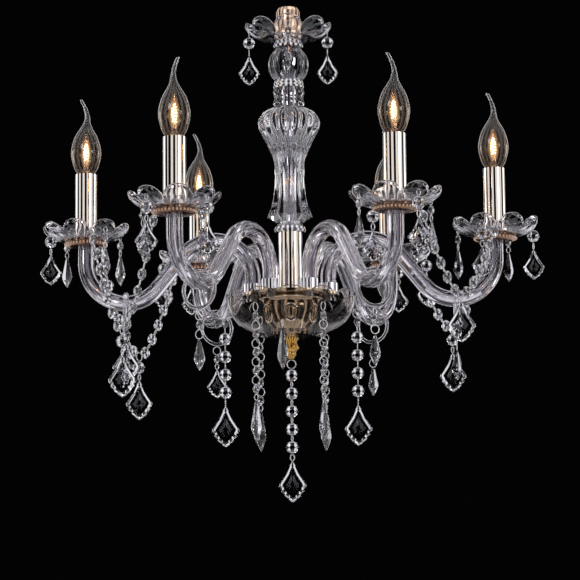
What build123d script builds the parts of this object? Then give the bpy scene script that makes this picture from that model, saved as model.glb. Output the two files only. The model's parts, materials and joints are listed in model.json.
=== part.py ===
"""Crystal chandelier with six glass arms, candle lamps and hanging crystal strings.

Millimetres, +Z up. The origin is the centre of the stem's top face, where the light is hung.
The front of the light faces -Y, and azimuths are counted from +X towards +Y.
"""
from build123d import *
from math import acos, atan2, cos, degrees, hypot, pi, radians, sin
import os

# ---------------------------------------------------------------- driving dimensions
# The ring of candles
ARM_NAMES = ("right", "rear_right", "rear_left", "left", "front_left", "front_right")
ARM_COUNT = len(ARM_NAMES)
ARM_TURN = -1.5          # azimuth of the right arm, degrees
CANDLE_RADIUS = 233.0    # column axis to candle axis

# Column, from the top down
STEM_DIAMETER = 26.8
THREAD_LENGTH = 10.0     # of the suspension thread, from the stem's top
PIPE_SEAT = 6.0          # socket for the centre pipe under the thread
STEM_BORE = 20.0
THREAD_DIAMETER = 10.0   # suspension thread in the stem's head
TOP_DISH_BOTTOM = -37.0
SEAT_HEIGHT = 4.5
SEAT_DIAMETER = 29.0
COLLAR_HEIGHT = 5.0
COLLAR_DIAMETER = 34.0
BALL_HEIGHT = 40.0
BALL_DIAMETER = 46.0
BALL_LOBES = 8
DOUBLE_COLLAR_HEIGHT = 8.0
SPOOL_HEIGHT = 22.5
SPOOL_DIAMETER = 36.0
SPOOL_WAIST = 32.5
VASE_HEIGHT = 139.0
VASE_SHOULDER = 71.0
VASE_WAIST = 34.0
VASE_FLARE = 51.0
VASE_NECK = 30.0
VASE_LOBES = 12
VASE_SIDES = 6
GLASS_BORE = 15.0        # hole down the middle of every glass piece of the column
LOW_COLLAR_HEIGHT = 6.0
LOW_COLLAR_DIAMETER = 36.0
TUBE_DIAMETER = 26.8
TUBE_WALL = 1.5
TUBE_LENGTH = 71.0
PIPE_DIAMETER = 9.0      # centre pipe
PIPE_BORE = 6.0
PIPE_TOP_GAP = 1.0       # between the suspension thread's end and the pipe

# Hub
PLATE_DIAMETER = 112.0
PLATE_THICKNESS = 3.0
HUB_TOP_DIAMETER = 71.0
HUB_BOTTOM_DIAMETER = 40.0
HUB_HEIGHT = 43.0
HUB_WALL = 1.5
BLOCK_SIZE = (24.0, 20.0, 16.0)    # terminal block
BLOCK_RISE = 0.4         # of the block above the hub cup's floor
BOWL_DIAMETER = 148.5
BOWL_HEIGHT = 52.0
BOWL_WALL = 4.0
BOWL_FLOOR_DIAMETER = 52.0
BOWL_PETALS = 12
BOWL_GROOVE = 0.045
BOWL_SCALLOP = 0.17
FINIAL_DIAMETER = 17.0
FINIAL_HEIGHT = 24.0
PIPE_CLEARANCE = 0.3     # radial, round the centre pipe

# Glass arms
ARM_DIAMETER = 18.0
ARM_RIBS = 8
LEG_RADIUS = 43.0        # column axis to the arm's inner leg
HUMP_BEND = 44.0         # bend radius of the arm over its hump
PEAK_LEVEL = -270.0      # arm's centre line at its highest
SWEEP_BEND = 46.0        # bend radius of the arm below its candle
SWEEP_LEVEL = -341.0     # arm's centre line at its lowest
FERRULE_DIAMETER = 21.0
FERRULE_DEPTH = 12.0
FERRULE_FLOOR = 4.0
SCREW_DIAMETER = 5.0
SCREW_HEAD = 8.0
SCREW_HEAD_HEIGHT = 4.0
FIT = 0.15               # radial clearance of the seats

# Candle lamps
DISH_DIAMETER = 101.0
DISH_HEIGHT = 20.0
DISH_FLOOR = 50.0
DISH_WALL = 3.0
DISH_PETALS = 8
DISH_GROOVE = 0.10       # depth of the grooves between petals, as a share of the radius
DISH_SCALLOP = 0.45      # dip of the rim between petals, as a share of the height
CUP_SWELL = ((0.35, 0.60),)
DISH_LEVEL = -269.5      # underside of the candle dishes
PAN_DIAMETER = 50.0
PAN_HEIGHT = 5.5
PAN_FOOT = 35.0
PAN_BEAD_COUNT = 16
SLEEVE_DIAMETER = 24.3
SLEEVE_WALL = 1.2
SLEEVE_LENGTH = 75.0
HOLDER_DIAMETER = 20.0
HOLDER_LENGTH = 55.0
HOLDER_BORE = 14.6
STALK_DIAMETER = 8.0      # holder's foot, through the dish
CAP_DIAMETER = 14.0
CAP_LENGTH = 22.0
BULB_DIAMETER = 35.0
BULB_HEIGHT = 88.0       # glass above the sleeve
BULB_NECK = 17.0
BULB_TIP_LEAN = 6.0
BULB_SIDES = 12

# Crystals and links
OCTAGON = 14.5
OCTAGON_THICKNESS = 7.0
LEAF_LARGE = (46.0, 31.0)
LEAF_SMALL = (34.0, 24.0)
LEAF_THICKNESS = 8.0
LEAF_TABLE = 0.35        # share of the outline left flat on each face
SPEAR_LONG = (46.0, 12.0)
SPEAR_SHORT = (33.0, 12.0)
OVAL_BEAD = (9.0, 8.0)
RING_LARGE = 11.0
HOOK_LENGTH = 8.0
WIRE = 1.2
PIN_LENGTH = 5.4
JOIN_GAP = 0.2           # between one link and the next
HOOP_DIAMETER = 44.0
HOOP_STOCK = 4.2
HOOP_REST = 0.3          # between a hoop and the arm it hangs on
HOOK_GAP = 0.3           # between the top link and the glass it hangs from

# Where the strings hang
HOOK_RADIUS = 45.0       # dish axis to a pendant's hook
BOWL_HOOK_LEVEL = -350.0
FRONT_DROP_LEVEL = -368.0
FRONT_DROP_AZIMUTH = -99.0
SWAG_SAG = 0.45          # 0 hangs straight, 1 hangs as a full curve

# Azimuth of the first of four pendants on each dish, and what hangs on the four
DISH_HANGERS = {
    "right": (66.0, ("spear", "spear", "leaf", "leaf")),
    "rear_right": (75.0, ("leaf", "spear", "spear", "leaf")),
    "rear_left": (15.0, ("spear", "leaf", "leaf", "spear")),
    "left": (33.7, ("spear", "spear", "leaf", "spear")),
    "front_left": (52.0, ("spear", "spear", "leaf", "leaf")),
    "front_right": (30.0, ("spear", "leaf", "spear", "leaf")),
}
TOP_HANGERS = (0.0, ("leaf", "spear", "leaf", "spear"))
# Each swag: its two dishes with its hook on each, counted in half petals from the first
# pendant (even on a petal's crown, odd between petals), and the level of its lowest ring
SWAGS = {
    "swag_front_left": ("left", 11, "front_left", 3, -384.0),
    "swag_rear_left": ("left", 2, "rear_left", 10, -390.0),
    "swag_rear_right": ("right", 1, "rear_right", 10, -362.0),
    "swag_front_right": ("right", 9, "front_right", 1, -352.0),
}
SWAG_TAILS = {
    "swag_front_left": ("ring", "octagon", "hook", "large leaf"),
    "swag_rear_left": ("ring", "octagon", "hook", "large leaf"),
    "swag_rear_right": ("ring", "octagon", "hook", "large leaf"),
    "swag_front_right": ("ring", "large leaf"),
}
FACING_FRONT = ("octagon", "leaf", "large leaf")
# azimuth each lamp's bent tip leans to
BULB_TIPS = {
    "right": 180.0, "rear_right": 180.0, "rear_left": 180.0,
    "left": 180.0, "front_left": 45.0, "front_right": 180.0,
}
BOWL_STRINGS = ("right", "rear_right", "rear_left", "left", "front_left", "front_right")

# ---------------------------------------------------------------- levels worked out from them
PEAK_RADIUS = LEG_RADIUS + HUMP_BEND
SWEEP_RADIUS = CANDLE_RADIUS - SWEEP_BEND
SEAT_BOTTOM = TOP_DISH_BOTTOM - SEAT_HEIGHT
BALL_TOP = SEAT_BOTTOM - COLLAR_HEIGHT
BALL_BOTTOM = BALL_TOP - BALL_HEIGHT
SPOOL_TOP = BALL_BOTTOM - DOUBLE_COLLAR_HEIGHT
VASE_TOP = SPOOL_TOP - SPOOL_HEIGHT
VASE_BOTTOM = VASE_TOP - VASE_HEIGHT
TUBE_TOP = VASE_BOTTOM - LOW_COLLAR_HEIGHT
PLATE_TOP = TUBE_TOP - TUBE_LENGTH
PLATE_BOTTOM = PLATE_TOP - PLATE_THICKNESS
HUB_BOTTOM = PLATE_BOTTOM - HUB_HEIGHT
BOWL_BOTTOM = HUB_BOTTOM - BOWL_WALL
BOWL_TOP = BOWL_BOTTOM + BOWL_HEIGHT
FINIAL_BOTTOM = BOWL_BOTTOM - FINIAL_HEIGHT
PAN_BOTTOM = DISH_LEVEL - PAN_HEIGHT
SLEEVE_BOTTOM = DISH_LEVEL + DISH_WALL
SLEEVE_TOP = SLEEVE_BOTTOM + SLEEVE_LENGTH


def arm_azimuth(name):
    """Azimuth of one arm in degrees."""
    return ARM_TURN + ARM_NAMES.index(name) * 360 / ARM_COUNT


def around(azimuth, radius, level=0.0):
    """A place at a radius and azimuth, with its own X axis pointing outwards."""
    return Rot(0, 0, azimuth) * Pos(radius, 0, level)


def at_arms(solid, radius, level=0.0):
    """Six copies of one solid, one to each arm."""
    return [around(arm_azimuth(name), radius, level) * solid for name in ARM_NAMES]


# ---------------------------------------------------------------- profiles and basic forms
def turned(points):
    """A body of revolution about Z from (radius, height) points joined by straight lines."""
    profile = make_face(Plane.XZ * Polyline(*points, close=True))
    return revolve(profile, Axis.Z)


def washer(outer, inner, bottom, height):
    """A plain ring of rectangular section about Z."""
    ring = Circle(outer / 2) - Circle(inner / 2)
    return Pos(0, 0, bottom) * extrude(ring, height)


def ring_points(radius_at, sides, level_at):
    """Corners round Z: radius_at(angle) out and level_at(angle) up, or one level for all."""
    corners = []
    for i in range(sides):
        angle = 2 * pi * i / sides
        level = level_at(angle) if callable(level_at) else level_at
        corners.append(
            Vector(radius_at(angle) * cos(angle), radius_at(angle) * sin(angle), level)
        )
    return corners


def flat_facets(corners):
    """One flat face for four corners that share a plane, otherwise two triangles."""
    a, b, c, d = corners
    normal = (b - a).cross(c - a)
    if abs(normal.dot(d - a)) < 1e-6 * max(normal.length, 1e-9):
        return [Face(Wire.make_polygon([a, b, c, d]))]
    return [Face(Wire.make_polygon([a, b, c])), Face(Wire.make_polygon([a, c, d]))]


def cut_glass(rings, closed=False):
    """A solid with flat facets between rings of corners, closed by end faces or on itself."""
    faces = []
    pairs = list(zip(rings, rings[1:]))
    if closed:
        pairs.append((rings[-1], rings[0]))
    else:
        faces += [Face(Wire.make_polygon(rings[0])), Face(Wire.make_polygon(rings[-1]))]
    for low, high in pairs:
        count = len(low)
        for i in range(count):
            j = (i + 1) % count
            faces += flat_facets((low[i], low[j], high[j], high[i]))
    solid = Solid(Shell(faces))
    return solid if solid.volume > 0 else Solid(Shell([-face for face in faces]))


def lobed(radius, lobes, depth):
    """Corner radius of a section with rounded lobes: full at each crown, less in each groove."""
    return lambda angle: radius - depth * (1 - abs(cos(lobes * angle / 2)))


def round_section(radius):
    """Corner radius of a plain many-sided section."""
    return lambda angle: radius


def fluted(levels, lobes, bore, per_lobe=2):
    """Drilled cut glass; each level is (height, radius, groove depth), from the bottom up."""
    sides = lobes * per_lobe
    rings = [
        ring_points(lobed(radius, lobes, depth), sides, height)
        for height, radius, depth in levels
    ]
    for height in (levels[-1][0], levels[0][0]):
        rings.append(ring_points(round_section(bore / 2), sides, height))
    return cut_glass(rings, closed=True)


def link_ring(diameter, wire=WIRE):
    """A wire ring that hangs from Z = 0, in the XZ plane."""
    outer = RegularPolygon(diameter / 2, 8, rotation=22.5, major_radius=False)
    inner = RegularPolygon(diameter / 2 - wire, 8, rotation=22.5, major_radius=False)
    flat = extrude(outer - inner, wire / 2, both=True)
    return Pos(0, 0, -diameter / 2) * Rot(90, 0, 0) * flat


def link_pin(length):
    """A straight wire pin that joins two links, hanging from Z = 0."""
    return Pos(0, 0, -length / 2) * Box(WIRE, WIRE, length)


# ---------------------------------------------------------------- crystals, each hanging from Z = 0
def upright(points):
    """Corners drawn as (across, up) pairs at one depth, as places in space."""
    return lambda depth: [Vector(x, depth, z) for x, z in points]


def octagon_bead():
    """A flat eight-sided bead, cut to a table on both faces."""
    half = OCTAGON_THICKNESS / 2
    rings = []
    for share, depth in ((0.55, -half), (1.0, 0.0), (0.55, half)):
        radius = share * OCTAGON / 2 / cos(pi / 8)
        corners = [
            (radius * cos(pi * (2 * i + 1) / 8), radius * sin(pi * (2 * i + 1) / 8) - OCTAGON / 2)
            for i in range(8)
        ]
        rings.append(upright(corners)(depth))
    return cut_glass(rings)


def leaf_outline(height, width, share=1.0):
    """Half-scalloped kite: narrow neck, wide shoulders, notched sides and a point."""
    half = [(0.12, 0.0), (0.50, -0.30), (1.0, -0.52), (0.78, -0.70), (0.48, -0.84)]
    centre = -0.50
    right = [
        (share * x * width / 2, (centre + share * (z - centre)) * height) for x, z in half
    ]
    point = (0.0, (centre + share * (-1.0 - centre)) * height)
    left = [(-x, z) for x, z in reversed(right)]
    return [*right, point, *left]


def leaf(size):
    """A French-cut leaf pendant, bevelled from its edge to a small table on both faces."""
    half = LEAF_THICKNESS / 2
    cuts = ((LEAF_TABLE, -half), (1.0, 0.0), (LEAF_TABLE, half))
    return cut_glass([upright(leaf_outline(*size, share))(depth) for share, depth in cuts])


def turned_drop(size, steps, sides):
    """A faceted drop of revolution hanging from Z = 0; steps are shares of height and width."""
    height, width = size
    rings = [
        ring_points(round_section(share * width / 2), sides, level * height)
        for level, share in reversed(steps)
    ]
    return cut_glass(rings)


def spear(size):
    """A slim six-sided drop, widest below its middle."""
    return turned_drop(size, ((0.0, 0.22), (-0.15, 0.40), (-0.62, 1.0), (-1.0, 0.10)), 6)


def oval_bead():
    """A small six-sided barrel bead."""
    return turned_drop(OVAL_BEAD, ((0.0, 0.5), (-0.3, 1.0), (-0.7, 1.0), (-1.0, 0.5)), 6)


LINKS = {
    "ring": (lambda: link_ring(RING_LARGE), RING_LARGE),
    "hook": (lambda: link_pin(HOOK_LENGTH), HOOK_LENGTH),
    "pin": (lambda: link_pin(PIN_LENGTH), PIN_LENGTH),
    "octagon": (octagon_bead, OCTAGON),
    "oval": (oval_bead, OVAL_BEAD[0]),
    "leaf": (lambda: leaf(LEAF_SMALL), LEAF_SMALL[0]),
    "large leaf": (lambda: leaf(LEAF_LARGE), LEAF_LARGE[0]),
    "spear": (lambda: spear(SPEAR_SHORT), SPEAR_SHORT[0]),
    "long spear": (lambda: spear(SPEAR_LONG), SPEAR_LONG[0]),
}


def string_of(names, heading=0.0):
    """Links and crystals hung one under the other from Z = 0.

    heading is the azimuth of X at the place the string hangs from: leaves and octagons are
    turned back by it, so that they show their faces to the front.
    """
    solids = []
    level = 0.0
    for name in names:
        make, height = LINKS[name]
        back = -heading if name in FACING_FRONT else 0.0
        solids.append(Pos(0, 0, level) * Rot(0, 0, back) * make())
        level -= height + JOIN_GAP
    return solids


# ---------------------------------------------------------------- column
def stem_cap():
    """Gilt stem with the threaded hole in its head; it presses the top dish down."""
    radius = STEM_DIAMETER / 2
    floor = TOP_DISH_BOTTOM + DISH_WALL
    points = [
        (THREAD_DIAMETER / 2, 0),
        (radius - 2.5, 0),
        (radius, -4),
        (radius, floor + 6),
        (radius + 2.5, floor + 3),
        (radius + 2.5, floor),
        (STEM_BORE / 2, floor),
        (STEM_BORE / 2, -THREAD_LENGTH - PIPE_SEAT),
        (PIPE_DIAMETER / 2 + FIT, -THREAD_LENGTH - PIPE_SEAT),
        (PIPE_DIAMETER / 2 + FIT, -THREAD_LENGTH),
        (THREAD_DIAMETER / 2, -THREAD_LENGTH),
    ]
    return turned(points)


def petal_cup(shape, petals, bore):
    """A flower-shaped glass cup: fluted flaring wall, scalloped rim and a drilled floor.

    shape is (rim diameter, height, floor diameter, wall, groove share, scallop share) and
    the wall bulges by the (height share, radius share) steps of CUP_SWELL.
    """
    diameter, height, floor, wall, groove, scallop = shape
    rim = diameter / 2
    foot = floor / 2
    sides = petals * 4

    def ring(radius, level, flute, dip):
        return ring_points(
            lobed(radius, petals, radius * flute),
            sides,
            lambda angle: level - dip * (1 - abs(cos(petals * angle / 2))) ** 2,
        )

    outer = [ring(foot, 0, 0, 0)]
    inner = [ring(foot - wall * 0.5, wall, 0, 0)]
    for up, out in CUP_SWELL:
        radius = foot + (rim - foot) * out
        flute = groove * out
        outer.append(ring(radius, height * up, flute, 0))
        inner.append(ring(radius - wall * 0.8, height * up + wall * 0.6, flute, 0))
    dip = height * scallop
    outer.append(ring(rim, height, groove, dip))
    inner.append(ring(rim - wall * 0.7, height, groove, dip))
    hole = [ring(bore / 2, level, 0, 0) for level in (wall, 0)]
    return cut_glass(outer + inner[::-1] + hole, closed=True)


def candle_shape():
    """Shape of a candle dish and of the matching dish at the top."""
    return DISH_DIAMETER, DISH_HEIGHT, DISH_FLOOR, DISH_WALL, DISH_GROOVE, DISH_SCALLOP


def top_dish():
    """The flower cup round the stem's foot."""
    return Pos(0, 0, TOP_DISH_BOTTOM) * petal_cup(candle_shape(), DISH_PETALS, GLASS_BORE)


def column_collars():
    """Metal seats between the column's glass pieces, from the top down."""
    half = DOUBLE_COLLAR_HEIGHT / 2
    stack = (
        (SEAT_DIAMETER, SEAT_BOTTOM, SEAT_HEIGHT),
        (COLLAR_DIAMETER, BALL_TOP, COLLAR_HEIGHT),
        (COLLAR_DIAMETER, SPOOL_TOP + half, half),
        (COLLAR_DIAMETER + 1, SPOOL_TOP, half),
        (LOW_COLLAR_DIAMETER, TUBE_TOP, LOW_COLLAR_HEIGHT),
    )
    return [collar(*place) for place in stack]


def collar(diameter, bottom, height):
    """One collar, crowned at mid height."""
    bore = GLASS_BORE / 2
    edge = diameter / 2 - height * 0.2
    points = [
        (bore, bottom),
        (edge, bottom),
        (diameter / 2, bottom + height / 2),
        (edge, bottom + height),
        (bore, bottom + height),
    ]
    return turned(points)


def ribbed_ball():
    """The melon-cut glass ball."""
    radius = BALL_DIAMETER / 2
    steps = ((0.0, 0.58), (0.12, 0.80), (0.32, 0.97), (0.55, 1.0), (0.78, 0.88), (1.0, 0.58))
    levels = [
        (share * BALL_HEIGHT, size * radius, size * radius * 0.09) for share, size in steps
    ]
    return Pos(0, 0, BALL_BOTTOM) * fluted(levels, BALL_LOBES, GLASS_BORE)


def spool_bead():
    """The small waisted bead between the collars and the vase."""
    full = SPOOL_DIAMETER / 2
    waist = SPOOL_WAIST / 2
    levels = [
        (0.0, full * 0.88, 0.5),
        (SPOOL_HEIGHT * 0.22, full, 1.0),
        (SPOOL_HEIGHT * 0.5, waist, 0.8),
        (SPOOL_HEIGHT * 0.78, full, 1.0),
        (SPOOL_HEIGHT, full * 0.88, 0.5),
    ]
    return Pos(0, 0, VASE_TOP) * fluted(levels, BALL_LOBES, GLASS_BORE)


def vase_radius(radius, groove, flatness):
    """Section of the vase: lobes at its shoulder that run into flat sides lower down."""
    side = 2 * pi / VASE_SIDES

    def radius_at(angle):
        off_centre = (angle + side / 2) % side - side / 2
        flat = cos(side / 2) / cos(abs(off_centre) - side / 2)
        lobe = 1 - groove * (1 - abs(cos(VASE_LOBES * angle / 2)))
        return radius * lobe * (1 - flatness + flatness * flat)

    return radius_at


def vase():
    """The tall glass vase: melon shoulder, slim waist and a six-sided flare at its foot."""
    shoulder = VASE_SHOULDER / 2
    waist = VASE_WAIST / 2
    flare = VASE_FLARE / 2
    neck = VASE_NECK / 2
    steps = (
        (0.0, neck, 0.0, 0.2),
        (0.035, neck, 0.0, 0.6),
        (0.085, flare, 0.0, 1.0),
        (0.16, flare * 0.86, 0.0, 1.0),
        (0.28, waist * 1.06, 0.0, 0.9),
        (0.42, waist, 0.02, 0.7),
        (0.56, waist * 1.06, 0.04, 0.4),
        (0.70, shoulder * 0.72, 0.07, 0.1),
        (0.80, shoulder * 0.93, 0.09, 0.0),
        (0.88, shoulder, 0.10, 0.0),
        (0.95, shoulder * 0.86, 0.09, 0.0),
        (1.0, shoulder * 0.52, 0.05, 0.0),
    )
    sides = VASE_LOBES * 2
    rings = [
        ring_points(vase_radius(radius, groove, flat), sides, share * VASE_HEIGHT)
        for share, radius, groove, flat in steps
    ]
    for height in (VASE_HEIGHT, 0):
        rings.append(ring_points(round_section(GLASS_BORE / 2), sides, height))
    return Pos(0, 0, VASE_BOTTOM) * cut_glass(rings, closed=True)


def column_tube():
    """Polished tube between the vase and the hub."""
    inner = TUBE_DIAMETER - 2 * TUBE_WALL
    return washer(TUBE_DIAMETER, inner, PLATE_TOP, TUBE_LENGTH)


def centre_pipe():
    """Threaded pipe that strings the whole column together and carries the leads."""
    top = -THREAD_LENGTH - PIPE_TOP_GAP
    bottom = FINIAL_BOTTOM + FINIAL_HEIGHT * 0.4
    return washer(PIPE_DIAMETER, PIPE_BORE, bottom, top - bottom)


# ---------------------------------------------------------------- hub
def pipe_hole(bottom, height):
    """Clearance hole for the centre pipe."""
    radius = PIPE_DIAMETER / 2 + PIPE_CLEARANCE
    return Pos(0, 0, bottom) * extrude(Circle(radius), height)


def arm_plate():
    """Steel plate under the column that the six arms are bolted to."""
    plate = Pos(0, 0, PLATE_BOTTOM) * extrude(Circle(PLATE_DIAMETER / 2), PLATE_THICKNESS)
    hole = Pos(0, 0, -1) * extrude(Circle(SCREW_DIAMETER / 2 + FIT), PLATE_THICKNESS + 2)
    return plate - at_arms(hole, LEG_RADIUS, PLATE_BOTTOM) - pipe_hole(PLATE_BOTTOM, PLATE_THICKNESS)


def hub_cup():
    """Gilt spun cup under the plate, with a rolled rim; it hides the wiring."""
    top = HUB_TOP_DIAMETER / 2
    foot = HUB_BOTTOM_DIAMETER / 2
    wall = HUB_WALL
    hole = PIPE_DIAMETER / 2 + PIPE_CLEARANCE
    middle = foot + (top - foot) * 0.55
    points = [
        (hole, HUB_BOTTOM),
        (foot, HUB_BOTTOM),
        (middle, HUB_BOTTOM + HUB_HEIGHT * 0.4),
        (top, PLATE_BOTTOM - 3),
        (top, PLATE_BOTTOM),
        (top - 2 * wall, PLATE_BOTTOM),
        (middle - wall, HUB_BOTTOM + HUB_HEIGHT * 0.4),
        (foot - wall, HUB_BOTTOM + wall),
        (hole, HUB_BOTTOM + wall),
    ]
    return turned(points)


def terminal_block():
    """Connector inside the hub cup, clipped round the centre pipe."""
    block = Pos(0, 0, HUB_BOTTOM + HUB_WALL + BLOCK_SIZE[2] / 2 + BLOCK_RISE) * Box(*BLOCK_SIZE)
    return block - pipe_hole(HUB_BOTTOM, HUB_HEIGHT)


def bowl_profile():
    """Outer (height, radius) steps of the bowl above its underside."""
    rim = BOWL_DIAMETER / 2
    foot = BOWL_FLOOR_DIAMETER / 2
    return (
        (0.0, foot),
        (BOWL_HEIGHT * 0.10, rim * 0.58),
        (BOWL_HEIGHT * 0.30, rim * 0.80),
        (BOWL_HEIGHT * 0.55, rim * 0.93),
        (BOWL_HEIGHT * 0.80, rim * 0.985),
        (BOWL_HEIGHT, rim),
    )


def glass_bowl():
    """The twelve-petalled bowl round the hub, held up by the finial."""
    steps = bowl_profile()
    sides = BOWL_PETALS * 3

    def ring(radius, level, dip=0):
        return ring_points(
            lobed(radius, BOWL_PETALS, radius * BOWL_GROOVE),
            sides,
            lambda angle: level - dip * (1 - abs(cos(BOWL_PETALS * angle / 2))) ** 2,
        )

    dip = BOWL_HEIGHT * BOWL_SCALLOP
    outer = [ring(radius, level) for level, radius in steps[:-1]]
    outer.append(ring(steps[-1][1], steps[-1][0], dip))
    inner = [ring(steps[-1][1] - BOWL_WALL, steps[-1][0], dip)]
    for level, radius in reversed(steps[1:-1]):
        inner.append(ring(radius - BOWL_WALL * 0.9, level + BOWL_WALL * 0.7))
    inner.append(ring(steps[0][1] - 1, BOWL_WALL))
    radius = PIPE_DIAMETER / 2 + PIPE_CLEARANCE
    hole = [ring_points(round_section(radius), sides, level) for level in (BOWL_WALL, 0)]
    return Pos(0, 0, BOWL_BOTTOM) * cut_glass(outer + inner + hole, closed=True)


def finial():
    """Gilt cap nut that clamps the bowl, with a drilled tip for the centre string."""
    radius = FINIAL_DIAMETER / 2
    bore = PIPE_DIAMETER / 2
    depth = FINIAL_HEIGHT * 0.6 + FIT
    top = BOWL_BOTTOM
    points = [
        (bore + FIT, top),
        (radius, top),
        (radius * 0.70, top - FINIAL_HEIGHT * 0.21),
        (radius * 0.92, top - FINIAL_HEIGHT * 0.46),
        (radius * 0.55, top - FINIAL_HEIGHT * 0.67),
        (radius * 0.62, top - FINIAL_HEIGHT * 0.79),
        (radius * 0.35, FINIAL_BOTTOM),
        (0, FINIAL_BOTTOM),
        (0, top - depth),
        (bore + FIT, top - depth),
    ]
    return turned(points)


# ---------------------------------------------------------------- arms
def arm_path(leg_start):
    """Centre line of an arm in the XZ plane: leg, hump, straight fall, sweep and end."""
    hump = HUMP_BEND
    sweep = SWEEP_BEND
    c1 = (PEAK_RADIUS, PEAK_LEVEL - hump)
    c2 = (SWEEP_RADIUS, SWEEP_LEVEL + sweep)
    span = hypot(c2[0] - c1[0], c2[1] - c1[1])
    tilt = atan2(c2[1] - c1[1], c2[0] - c1[0])
    lean = acos((hump + sweep) / span)
    off = (c1[0] + hump * cos(tilt + lean), c1[1] + hump * sin(tilt + lean))
    on = (c2[0] - sweep * cos(tilt + lean), c2[1] - sweep * sin(tilt + lean))
    crown = (PEAK_RADIUS, PEAK_LEVEL)
    low = (SWEEP_RADIUS, SWEEP_LEVEL)
    low_left = (c2[0] + sweep * cos(radians(-115)), c2[1] + sweep * sin(radians(-115)))
    outer = (CANDLE_RADIUS, c2[1])
    edges = [
        Line((LEG_RADIUS, leg_start), (LEG_RADIUS, c1[1])),
        ThreePointArc((LEG_RADIUS, c1[1]), crown, off),
        Line(off, on),
        ThreePointArc(on, low_left, low),
        ThreePointArc(low, (c2[0] + sweep * cos(-pi / 4), c2[1] + sweep * sin(-pi / 4)), outer),
        Line(outer, (CANDLE_RADIUS, PAN_BOTTOM)),
    ]
    return Plane.XZ * Wire([edge for part in edges for edge in part.edges()])


def glass_arm():
    """One ribbed glass arm, from its ferrule on the plate to the candle pan."""
    foot = PLATE_TOP + FERRULE_FLOOR
    start = Plane(origin=(LEG_RADIUS, 0, foot), z_dir=(0, 0, 1))
    section = start * RegularPolygon(ARM_DIAMETER / 2, ARM_RIBS)
    return sweep(section, path=arm_path(foot))


def arm_ferrule():
    """Metal cup round the foot of an arm; its floor takes the screw from below."""
    inner = ARM_DIAMETER / 2 + FIT
    outer = FERRULE_DIAMETER / 2
    tap = SCREW_DIAMETER / 2 + FIT
    floor = PLATE_TOP + FERRULE_FLOOR
    points = [
        (tap, PLATE_TOP),
        (outer, PLATE_TOP),
        (outer, PLATE_TOP + FERRULE_DEPTH),
        (inner, PLATE_TOP + FERRULE_DEPTH),
        (inner, floor),
        (tap, floor),
    ]
    return turned(points)


def arm_screw():
    """Hexagon-headed screw from under the plate into an arm's ferrule."""
    head = extrude(RegularPolygon(SCREW_HEAD / 2, 6, major_radius=False), -SCREW_HEAD_HEIGHT)
    shank = extrude(Circle(SCREW_DIAMETER / 2), PLATE_THICKNESS + FERRULE_FLOOR - FIT)
    return Pos(0, 0, PLATE_BOTTOM) * (head + shank)


# ---------------------------------------------------------------- candle lamps
def candle_pan():
    """Gilt pan with a beaded rim between an arm's end and its dish."""
    rim = PAN_DIAMETER / 2
    foot = PAN_FOOT / 2
    sides = PAN_BEAD_COUNT * 2
    steps = ((0.0, foot, 0), (0.3, rim - 1, 2), (0.7, rim, 2), (1.0, rim - 2, 2))
    rings = [
        ring_points(lobed(radius, PAN_BEAD_COUNT, depth), sides, PAN_BOTTOM + share * PAN_HEIGHT)
        for share, radius, depth in steps
    ]
    return cut_glass(rings)


def candle_dishes():
    """The flower cups under the candles, each with a petal over its first pendant."""
    cup = petal_cup(candle_shape(), DISH_PETALS, STALK_DIAMETER + 2 * FIT)
    dishes = []
    for name in ARM_NAMES:
        place = Pos(*candle_centre(name), DISH_LEVEL) * Rot(0, 0, DISH_HANGERS[name][0])
        dishes.append(place * cup)
    return dishes


def lamp_holder():
    """Lamp holder inside the sleeve: a socket above, a stalk down through the dish."""
    top = SLEEVE_TOP - 2
    bottom = top - HOLDER_LENGTH
    bore = HOLDER_BORE / 2
    points = [
        (bore, top),
        (HOLDER_DIAMETER / 2, top),
        (HOLDER_DIAMETER / 2, bottom),
        (STALK_DIAMETER / 2, bottom),
        (STALK_DIAMETER / 2, DISH_LEVEL),
        (0, DISH_LEVEL),
        (0, top - CAP_LENGTH - 6),
        (bore, top - CAP_LENGTH - 6),
    ]
    return turned(points)


def candle_sleeve():
    """Polished tube over the lamp holder, standing on the dish."""
    return washer(
        SLEEVE_DIAMETER, SLEEVE_DIAMETER - 2 * SLEEVE_WALL, SLEEVE_BOTTOM, SLEEVE_LENGTH
    )


def bulb():
    """Flame lamp: screw cap, blown glass body and a bent tip, with its base at the sleeve."""
    foot = CAP_DIAMETER / 2
    cap = cut_glass(
        [
            ring_points(round_section(radius), BULB_SIDES, level)
            for radius, level in ((foot * 0.5, -CAP_LENGTH), (foot, 2 - CAP_LENGTH), (foot, -FIT))
        ]
    )
    sections = (
        (0.0, BULB_NECK / 2, 0.0),
        (0.14, BULB_DIAMETER * 0.40, 0.0),
        (0.30, BULB_DIAMETER / 2, 0.0),
        (0.46, BULB_DIAMETER * 0.40, 0.0),
        (0.62, BULB_DIAMETER * 0.23, 0.04),
        (0.76, BULB_DIAMETER * 0.11, 0.30),
        (0.90, BULB_DIAMETER * 0.055, 0.55),
        (1.0, BULB_DIAMETER * 0.03, 1.0),
    )
    rings = []
    for share, radius, lean in sections:
        ring = ring_points(round_section(radius), BULB_SIDES, share * BULB_HEIGHT)
        rings.append([corner + Vector(lean * BULB_TIP_LEAN, 0, 0) for corner in ring])
    return [cap, cut_glass(rings)]


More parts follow.
